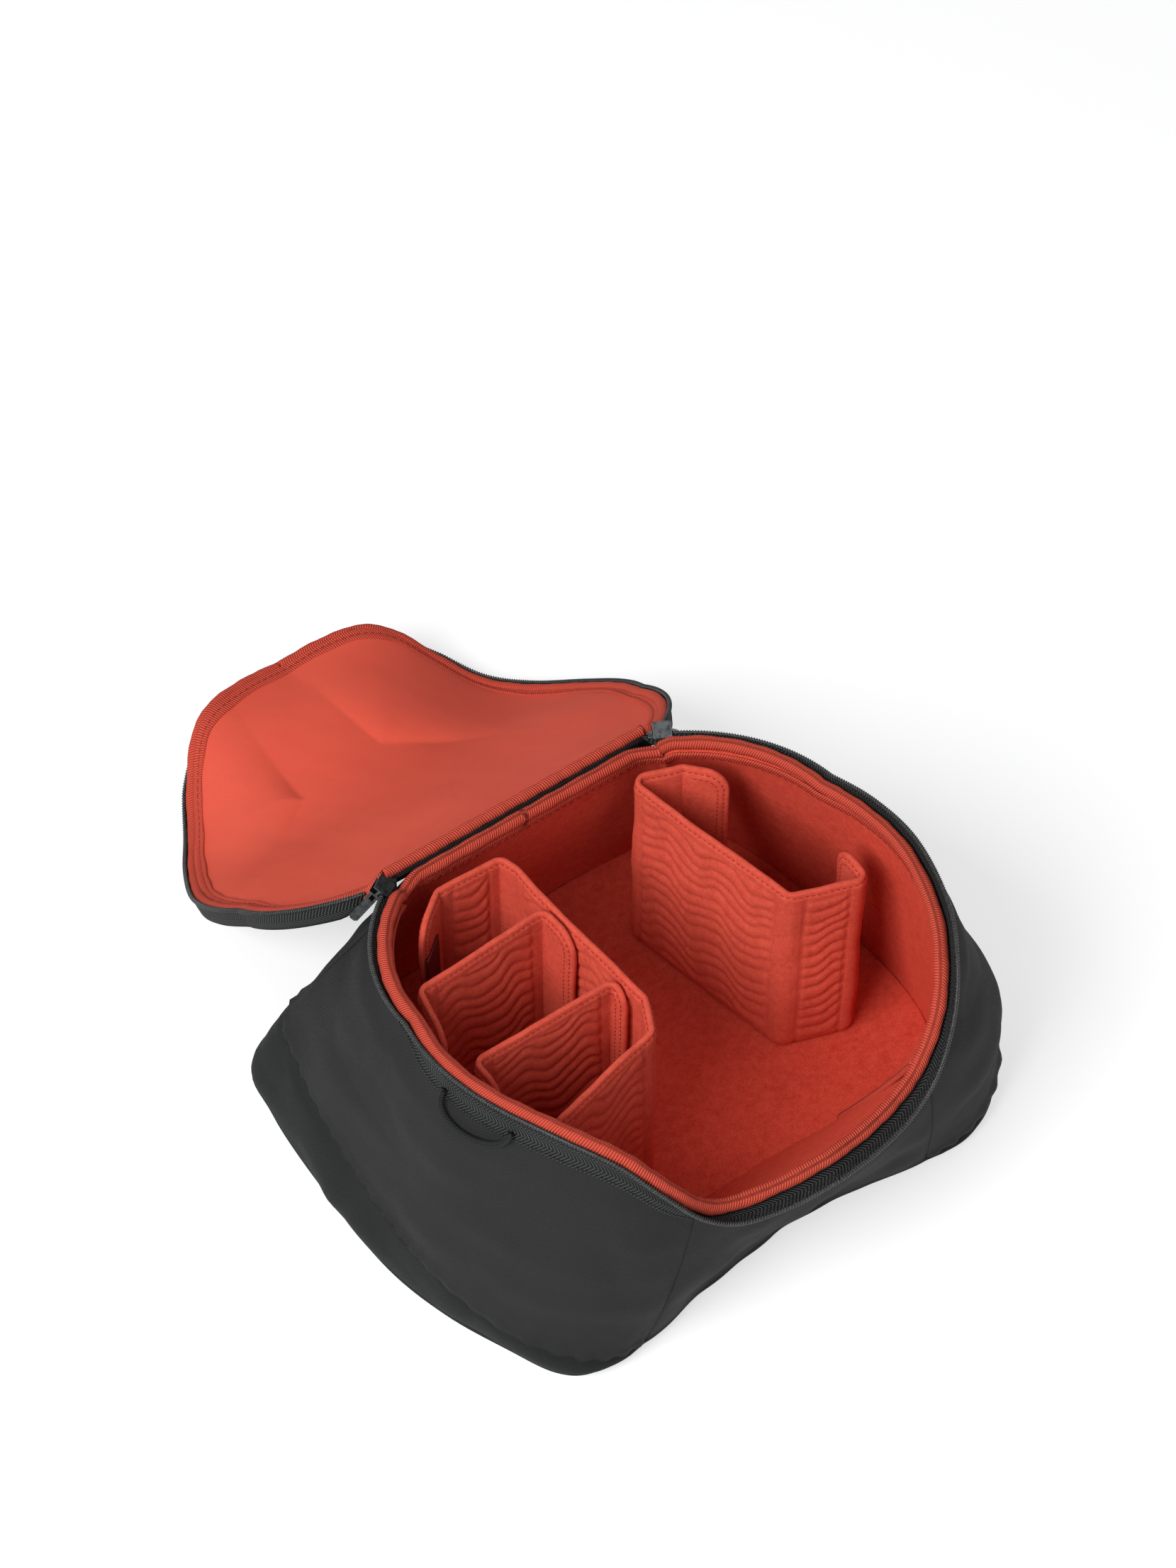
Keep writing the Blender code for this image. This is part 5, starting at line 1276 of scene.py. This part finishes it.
def lid_trim():
    """The ribbed edge of the lid beside its zip."""
    ats = zip_run(2.04)
    middle = np.stack([lid_trim_line(at) for at in ats])
    grown = np.array([step_between(column(at).rib, *TRIM_RIBS) for at in ats])[:, None]
    size = np.hstack([HINGE_ROLL_RADIUS - TRIM_SLIMMER * grown, HINGE_ROLL_RADIUS + 0 * grown])[:, None]
    profile = swollen(lengths(middle), 1.0, 1.0, 7, power=0.85) * size
    ups, sides = opened_ways(each(ats, "up")), opened_ways(sides_of(ats))
    sweep("lid_binding_tape", opened(middle), ups, sides, profile, BINDING, "lid_binding")


def lid_zip():
    """The zip's half on the lid: its tape and its coil."""
    ats = zip_run(2.10)
    edge = np.stack([lid_edge(column(at)) + tucked(column(at)) for at in ats])
    seam = np.stack([lid_top_edge(at) for at in ats])
    toward = seam - edge
    low = edge + squared(toward, each(ats, "along")) * 0.0004
    high = seam + unit_rows(toward) * 0.0012
    t = np.linspace(0, 1, 9)[None, :, None]
    tape_piece("lid_zip_weave", opened(low[:, None] * (1 - t) + high[:, None] * t), "lid_zip_tape")
    ats = zip_run(arc_rib(LID_CHAIN_START))
    centres = opened(np.stack([lid_edge(column(at)) + tucked(column(at)) for at in ats]))
    ways = opened_ways(each(ats, "up")), opened_ways(sides_of(ats))
    coil_piece("lid_zip_loops", centres, *ways, "lid_zip_coil")


FOLD_BEHIND, FOLD_BELOW, FOLD_ROLL_RADIUS = 0.0005, 0.0019, 0.0009


def hinge():
    """The lid's ribbed roll at the hinge, the strip that joins it to the body, and the body's fold."""
    reach, half = HINGE_HALF_LENGTH + 0.0012, HINGE_HALF_LENGTH - FOLD_END_SETBACK
    x = np.linspace(-reach, reach, 220)
    centres = np.stack([x, 0 * x - HINGE_ROLL_OFF, 0 * x + HINGE_ROLL_LEVEL], -1) + HINGE_POINT
    profile = swollen(lengths(centres), HINGE_ROLL_RADIUS, HINGE_ROLL_RADIUS, 9)
    ups, sides = np.zeros_like(centres) + [0.0, 0.0, 1.0], np.zeros_like(centres) + [0.0, 1.0, 0.0]
    ways = opened_ways(ups), opened_ways(sides)
    sweep("lid_hinge_binding_tape", opened(centres), *ways, profile, BINDING, "lid_hinge_binding")

    slope = math.radians(180) - LID_STRIP_ANGLE
    way = np.array([0.0, math.cos(slope), math.sin(slope)])
    normal = np.array([0.0, -math.sin(slope), math.cos(slope)])
    t = np.linspace(CLEARANCE, FOLD_RADIUS + CLEARANCE + LID_STRIP_WIDTH, 8)
    strips = [np.stack([np.full(8, px), way[1] * t, way[2] * t], -1) for px in np.linspace(-half, half, 120)]
    sheet = HINGE_POINT + np.stack(strips)
    sag = 0.0004 * soft_noise(sheet, 0.02, 71)[..., None] * normal
    thick = normal * LID_STRIP_THICK / 2
    faces = opened(sheet + thick + sag), opened(sheet - thick + sag)
    shell("lid_hinge_strip_cloth", *faces, LID_CLOTH, "lid_hinge_strip")

    centres = np.stack([x, 0 * x + FOLD_BEHIND, 0 * x - FOLD_BELOW], -1) + HINGE_POINT
    profile = swollen(lengths(centres), FOLD_ROLL_RADIUS, FOLD_ROLL_RADIUS, 12, 10)
    sweep("hinge_fold_cloth", centres, ups, sides, profile, LID_CLOTH, "hinge_fold")


lid_lining()
lid_shell()
lid_trim()
lid_zip()
hinge()


# Dividers
def rounded_plan(shares, steps=8):
    """(path, distances along it of the folds, and of its points) of a divider seen from above."""
    radius = DIVIDER_FOLD_RADIUS
    points = [placed(a * RIM_HALF_WIDTH, f * RIM_DEPTH, 0.0)[:2] for a, f in shares]
    path, folds = [points[0]], []
    for before, corner, after in zip(points, points[1:], points[2:]):
        back, ahead = unit(before - corner), unit(after - corner)
        half = math.acos(np.dot(back, ahead)) / 2
        middle = corner + unit(back + ahead) * radius / math.sin(half)
        start = corner + back * radius / math.tan(half) - middle
        end = corner + ahead * radius / math.tan(half) - middle
        turn = math.pi - 2 * half
        for step in range(steps + 1):
            part = step / steps
            from_start = start * math.sin((1 - part) * turn) / math.sin(turn)
            from_end = end * math.sin(part * turn) / math.sin(turn)
            path.append(middle + from_start + from_end)
            if step == steps // 2:
                folds.append(len(path) - 1)
    path.append(points[-1])
    path = np.array(path)
    run = lengths(path)
    return path, [run[i] for i in folds], run


END_ROUND = 0.013
OUTER_ROW, INNER_ROW = 0.0025, 0.0056
QUILT_PITCH, QUILT_DEPTH = 0.0094, 0.0012
SEWN_HALF_THICK, SWELL, SEAM_DEPTH, SIDE_SEAM_DEPTH = 0.0007, 0.0019, 0.00045, 0.0008


def divider(name, node, shares, seed):
    """A foam divider: quilted in waves between its folds, with thin sewn edges rounded at the ends."""
    path, folds, run = rounded_plan(shares)
    total = run[-1]
    close = np.linspace(0, 0.004, 6)
    s = np.unique(np.concatenate([np.linspace(0, total, int(total / 0.0013)), close, total - close, run]))
    plan = np.stack([np.interp(s, run, path[:, k]) for k in range(2)], -1)
    along = np.gradient(plan, s, axis=0)
    along /= np.linalg.norm(along, axis=1)[:, None]
    normal = np.stack([-along[:, 1], along[:, 0], 0 * s], -1)
    low = DIVIDER_FOOT
    bounds = [0.0, *folds, total]
    near_fold = np.min(np.abs(s[:, None] - np.array(folds)[None]), axis=1)[:, None]
    near_end = np.minimum(s, total - s)[:, None]
    short = np.maximum(END_ROUND - near_end, 0)
    top = DIVIDER_TOP - END_ROUND + np.sqrt(END_ROUND**2 - short**2)
    t = np.concatenate([np.linspace(0, 0.9, 92), np.linspace(0.9, 1, 17)[1:]])
    Z = low + (top - low) * t[None]
    high = np.maximum(END_ROUND - (DIVIDER_TOP - Z), 0)
    corner = (short > 0) & (high > 0)
    below_top = np.where(corner, END_ROUND - np.hypot(short, high), DIVIDER_TOP - Z)
    edge = np.minimum(np.minimum(below_top, near_end), Z - low)
    half = SEWN_HALF_THICK + SWELL * np.sqrt(step_between(edge, -0.0006, 0.0050))
    half = half - 0.0005 * np.exp(-((near_fold / 0.0018) ** 2)) * step_between(below_top, 0.0, 0.004)
    seam = SEAM_DEPTH * np.exp(-(((edge - 0.0024) / 0.0007) ** 2))
    long_part = np.zeros((len(s), 1))
    for start, end in zip(bounds, bounds[1:]):
        if end - start > 0.03:
            long_part[(s >= start) & (s <= end)] = 1.0
    room = np.minimum(near_fold, near_end + 0.003)
    mask = long_part * step_between(room, 0.0075, 0.0105)
    mask = mask * step_between(below_top, 0.0060, 0.0095) * step_between(Z - low, 0.004, 0.008)
    S = s[:, None]
    wave = 0.0044 * np.sin(2 * np.pi * S / 0.038 + seed + 0.7 * np.sin(Z * 45 + seed))
    wave = wave + 0.0008 * np.sin(2 * np.pi * S / 0.017 + 1.7 * seed + Z * 60)
    line = (Z + wave) / (QUILT_PITCH * (1 + 0.05 * math.sin(seed)))
    line = line + 0.10 * np.sin(line * 1.7 + seed)
    puff = np.abs(np.sin(np.pi * line))
    quilt = (QUILT_DEPTH * (puff**0.7) - 0.0005 - 0.0003 * np.exp(-((puff / 0.2) ** 2))) * mask
    side = SIDE_SEAM_DEPTH * np.exp(-(((room - 0.0080) / 0.0008) ** 2))
    side = side * long_part * step_between(below_top, 0.002, 0.005)
    body = half + quilt - seam - side
    points = np.stack([np.broadcast_to(plan[:, :1], Z.shape), np.broadcast_to(plan[:, 1:], Z.shape), Z], -1)
    grown = step_between(Z - low, 0.0, 0.03)
    sway = 0.0009 * soft_noise(points, 0.07, 80 + int(seed * 10)) * grown
    rise = 0.0008 * soft_noise(points * np.array([1, 1, 0.0]), 0.06, 90 + int(seed * 10))
    rise = rise * step_between((Z - low) / (DIVIDER_TOP - low), 0.5, 1.0)
    points = points + rise[..., None] * np.array([0.0, 0.0, 1.0])
    left = points + normal[:, None] * (sway + body)[..., None]
    right = points + normal[:, None] * (sway - body)[..., None]
    tidy(shell(name, left, right, QUILT, node))

    def sewn(inset):
        """The line of stitches at this distance from the edge, as distances along and heights."""
        round_off = END_ROUND - inset
        turn = np.linspace(0, math.pi / 2, 12)
        rise_z = np.linspace(low + 0.006, DIVIDER_TOP - END_ROUND, 60)
        bend_s = END_ROUND - round_off * np.cos(turn)
        bend_z = DIVIDER_TOP - END_ROUND + round_off * np.sin(turn)
        over = np.linspace(END_ROUND, total - END_ROUND, 200)[1:]
        line_s = [0 * rise_z + inset, bend_s, over, total - bend_s[::-1][1:], total - inset + 0 * rise_z]
        line_z = [rise_z, bend_z, np.full(199, DIVIDER_TOP - inset), bend_z[::-1][1:], rise_z[::-1]]
        return np.concatenate(line_s), np.concatenate(line_z)

    def read(grid, at_s, at_z):
        """A face's points at these distances along the divider and heights."""
        part = (at_z - low) / (np.interp(at_s, s, top[:, 0]) - low)
        across = np.clip(np.searchsorted(s, at_s) - 1, 0, len(s) - 2)
        mixed = ((at_s - s[across]) / (s[across + 1] - s[across]))[:, None]
        found = []
        for rows in (across, across + 1):
            points = [[np.interp(share, t, grid[i, :, k]) for k in range(3)] for i, share in zip(rows, part)]
            found.append(np.array(points))
        return found[0] * (1 - mixed) + found[1] * mixed

    for inset, gap in ((OUTER_ROW, 0.0012), (INNER_ROW, 0.0010)):
        at_s, at_z = sewn(inset)
        for tag, face, sign in (("a", left, 1), ("b", right, -1)):
            line = read(face, at_s, at_z)
            ways = sign * read_rows(normal, at_s, s)
            near_ends = np.minimum(at_s, total - at_s) < 0.021
            rows = {"0": near_ends & (at_s < total / 2), "1": near_ends & (at_s > total / 2)}
            if inset == OUTER_ROW:
                rows = {"": at_s >= 0}
            for end, part in rows.items():
                row_name = f"{name}_stitches_{tag}{end}"
                stitches(row_name, line[part], ways[part], THREAD, BODY_OF[node], 0.0021, gap, 0.0015)


divider("left_divider_quilt", "left_divider", LEFT_DIVIDER, 0.6)
divider("rear_cross_quilt", "rear_cross_divider", REAR_CROSS, 1.9)
divider("front_cross_quilt", "front_cross_divider", FRONT_CROSS, 3.1)
divider("right_divider_quilt", "right_divider", RIGHT_DIVIDER, 4.4)


def hooks():
    """The hook tape patches, sewn near the ends of the left divider."""
    path, _, run = rounded_plan(LEFT_DIVIDER, steps=3)
    total = run[-1]
    low = DIVIDER_FOOT + HOOK_RISE
    for node, first in (("left_first_hook", True), ("left_second_hook", False)):
        s = np.linspace(0, HOOK_LENGTH, 14) if first else np.linspace(total - HOOK_LENGTH, total, 14)
        plan = read_rows(path, s, run)
        along = unit_rows(np.gradient(plan, axis=0))
        normal = np.stack([-along[:, 1], along[:, 0], 0 * s], -1)
        z = np.linspace(low, low + HOOK_HEIGHT, 40)
        upright = np.repeat(plan[:, None], len(z), 1)
        grid = np.concatenate([upright, np.repeat(z[None, :, None], len(s), 0)], -1)
        sign = hook_side(node, grid, normal)
        near = DIVIDER_THICK / 2 + CLEARANCE
        outer = grid + normal[:, None] * sign * (near + HOOK_THICK)
        inner = grid + normal[:, None] * sign * near
        tidy(shell(node + "_tape", outer, inner, HOOKS, node))


def hook_side(node, grid, normal):
    """Which side of the divider the solid's patch lies on."""
    lowest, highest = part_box(node)
    middle = (np.array(lowest) + np.array(highest)) / 2
    centre = grid.reshape(-1, 3).mean(0)
    return 1.0 if np.dot(middle - centre, normal[len(normal) // 2]) > 0 else -1.0


hooks()


# Loop, sliders and stops
def loop():
    """The cord loop on the left side, sewn in under the zip tape at both ends."""
    first, last = LOOP_RIBS
    points, outs = [], []
    for turn in np.linspace(0, math.pi, 90):
        rib = (first + last) / 2 - (last - first) / 2 * math.cos(turn)
        at = 2 * RIBS - rib
        ends = outside(at, [SEAM_SHARE, 1.0])
        drop = LOOP_DROP * math.sin(turn) ** 0.8 + LOOP_RADIUS
        share = 1 - drop / np.linalg.norm(ends[1] - ends[0])
        point = outside(at, [SEAM_SHARE + share * (1 - SEAM_SHARE)])[0]
        points.append(point - column(at).into * (LOOP_RADIUS + 6 * CLEARANCE))
        outs.append(-column(at).into)
    points = np.array(points)
    points = along_path(points, points, 0.0012)
    ups, sides = frames_along(points, np.mean(outs, 0))
    cord = sweep("side_loop_cord", points, ups, sides, oval(LOOP_RADIUS, LOOP_RADIUS, 12), CORD, "side_loop")


loop()

for node in ("right_slider", "left_slider", "right_pull", "left_pull", "right_zip_stop", "left_zip_stop"):
    solid = NODES[node]
    solid.data.materials.clear()
    solid.data.materials.append(METAL)
    bevel = solid.modifiers.new("soft edges", "BEVEL")
    bevel.width = 0.00022
    bevel.segments = 2
    bevel.limit_method = "ANGLE"

# Floor, light and camera
FLOOR_LEVEL, FLOOR_REACH = -0.0004, 6.0
CAMERA_PLACE, CAMERA_AZIMUTH, CAMERA_ELEVATION = (-0.6422, -0.8302, 1.4721), -36.6, 49.5
IMAGE_WIDTH, FOCAL_PIXELS, SENSOR_WIDTH = 1659, 4800, 36.0


def studio():
    """A pale floor, soft light from the left and above, and a plain bright surrounding."""
    floor_mesh = bpy.data.meshes.new("studio_floor")
    ends = (-1, -1), (1, -1), (1, 1), (-1, 1)
    corners = [(x * FLOOR_REACH, y * FLOOR_REACH, FLOOR_LEVEL) for x, y in ends]
    floor_mesh.from_pydata(corners, [], [(0, 1, 2, 3)])
    floor = bpy.data.objects.new("studio_floor", floor_mesh)
    bpy.context.scene.collection.objects.link(floor)
    pale = bpy.data.materials.new("studio_white")
    pale.use_nodes = True
    shader = pale.node_tree.nodes["Principled BSDF"]
    shader.inputs["Base Color"].default_value = (0.56, 0.56, 0.56, 1.0)
    shader.inputs["Roughness"].default_value = 1.0
    shader.inputs["Specular IOR Level"].default_value = 0.0
    shader.inputs["Emission Color"].default_value = (1.0, 1.0, 1.0, 1.0)
    shader.inputs["Emission Strength"].default_value = 0.57
    floor_mesh.materials.append(pale)

    world = bpy.data.worlds.new("studio")
    bpy.context.scene.world = world
    world.use_nodes = True
    tree = world.node_tree
    tree.nodes.clear()
    out = tree.nodes.new("ShaderNodeOutputWorld")
    rays = tree.nodes.new("ShaderNodeLightPath")
    lit, seen = (tree.nodes.new("ShaderNodeBackground") for _ in range(2))
    mixed = tree.nodes.new("ShaderNodeMixShader")
    lit.inputs[0].default_value, lit.inputs[1].default_value = (0.96, 0.97, 1.0, 1.0), 0.33
    seen.inputs[0].default_value, seen.inputs[1].default_value = (1.0, 1.0, 1.0, 1.0), 1.0
    tree.links.new(rays.outputs["Is Camera Ray"], mixed.inputs[0])
    tree.links.new(lit.outputs[0], mixed.inputs[1])
    tree.links.new(seen.outputs[0], mixed.inputs[2])
    tree.links.new(mixed.outputs[0], out.inputs[0])

    for name, place, target, size, power in (
        ("key_light", (-2.45, -0.60, 2.45), (0.0, 0.05, 0.05), 1.8, 112.0),
        ("fill_light", (-0.5, -1.7, 1.7), (0.0, 0.0, 0.05), 1.4, 5.0),
        ("top_light", (0.2, 0.0, 2.2), (0.0, 0.05, 0.05), 1.6, 3.0),
    ):
        data = bpy.data.lights.new(name, "AREA")
        data.size, data.energy = size, power
        lamp = bpy.data.objects.new(name, data)
        bpy.context.scene.collection.objects.link(lamp)
        way = Vector(target) - Vector(place)
        lamp.matrix_world = Matrix.Translation(place) @ way.to_track_quat("-Z", "Y").to_matrix().to_4x4()
    bpy.context.scene.view_settings.view_transform = "Standard"


studio()


def camera():
    """The photograph's view."""
    azimuth, elevation = math.radians(CAMERA_AZIMUTH), math.radians(CAMERA_ELEVATION)
    flat = math.cos(elevation)
    back = Vector((math.sin(azimuth) * flat, -math.cos(azimuth) * flat, math.sin(elevation)))
    right = Vector((math.cos(azimuth), math.sin(azimuth), 0.0))
    data = bpy.data.cameras.new("photo_camera")
    data.sensor_fit, data.sensor_width = "HORIZONTAL", SENSOR_WIDTH
    data.lens = SENSOR_WIDTH * FOCAL_PIXELS / IMAGE_WIDTH
    data.clip_start, data.clip_end = 0.05, 40.0
    eye = bpy.data.objects.new("photo_camera", data)
    bpy.context.scene.collection.objects.link(eye)
    turn = Matrix((right, back.cross(right), back)).transposed().to_4x4()
    eye.matrix_world = Matrix.Translation(CAMERA_PLACE) @ turn
    bpy.context.scene.camera = eye


camera()
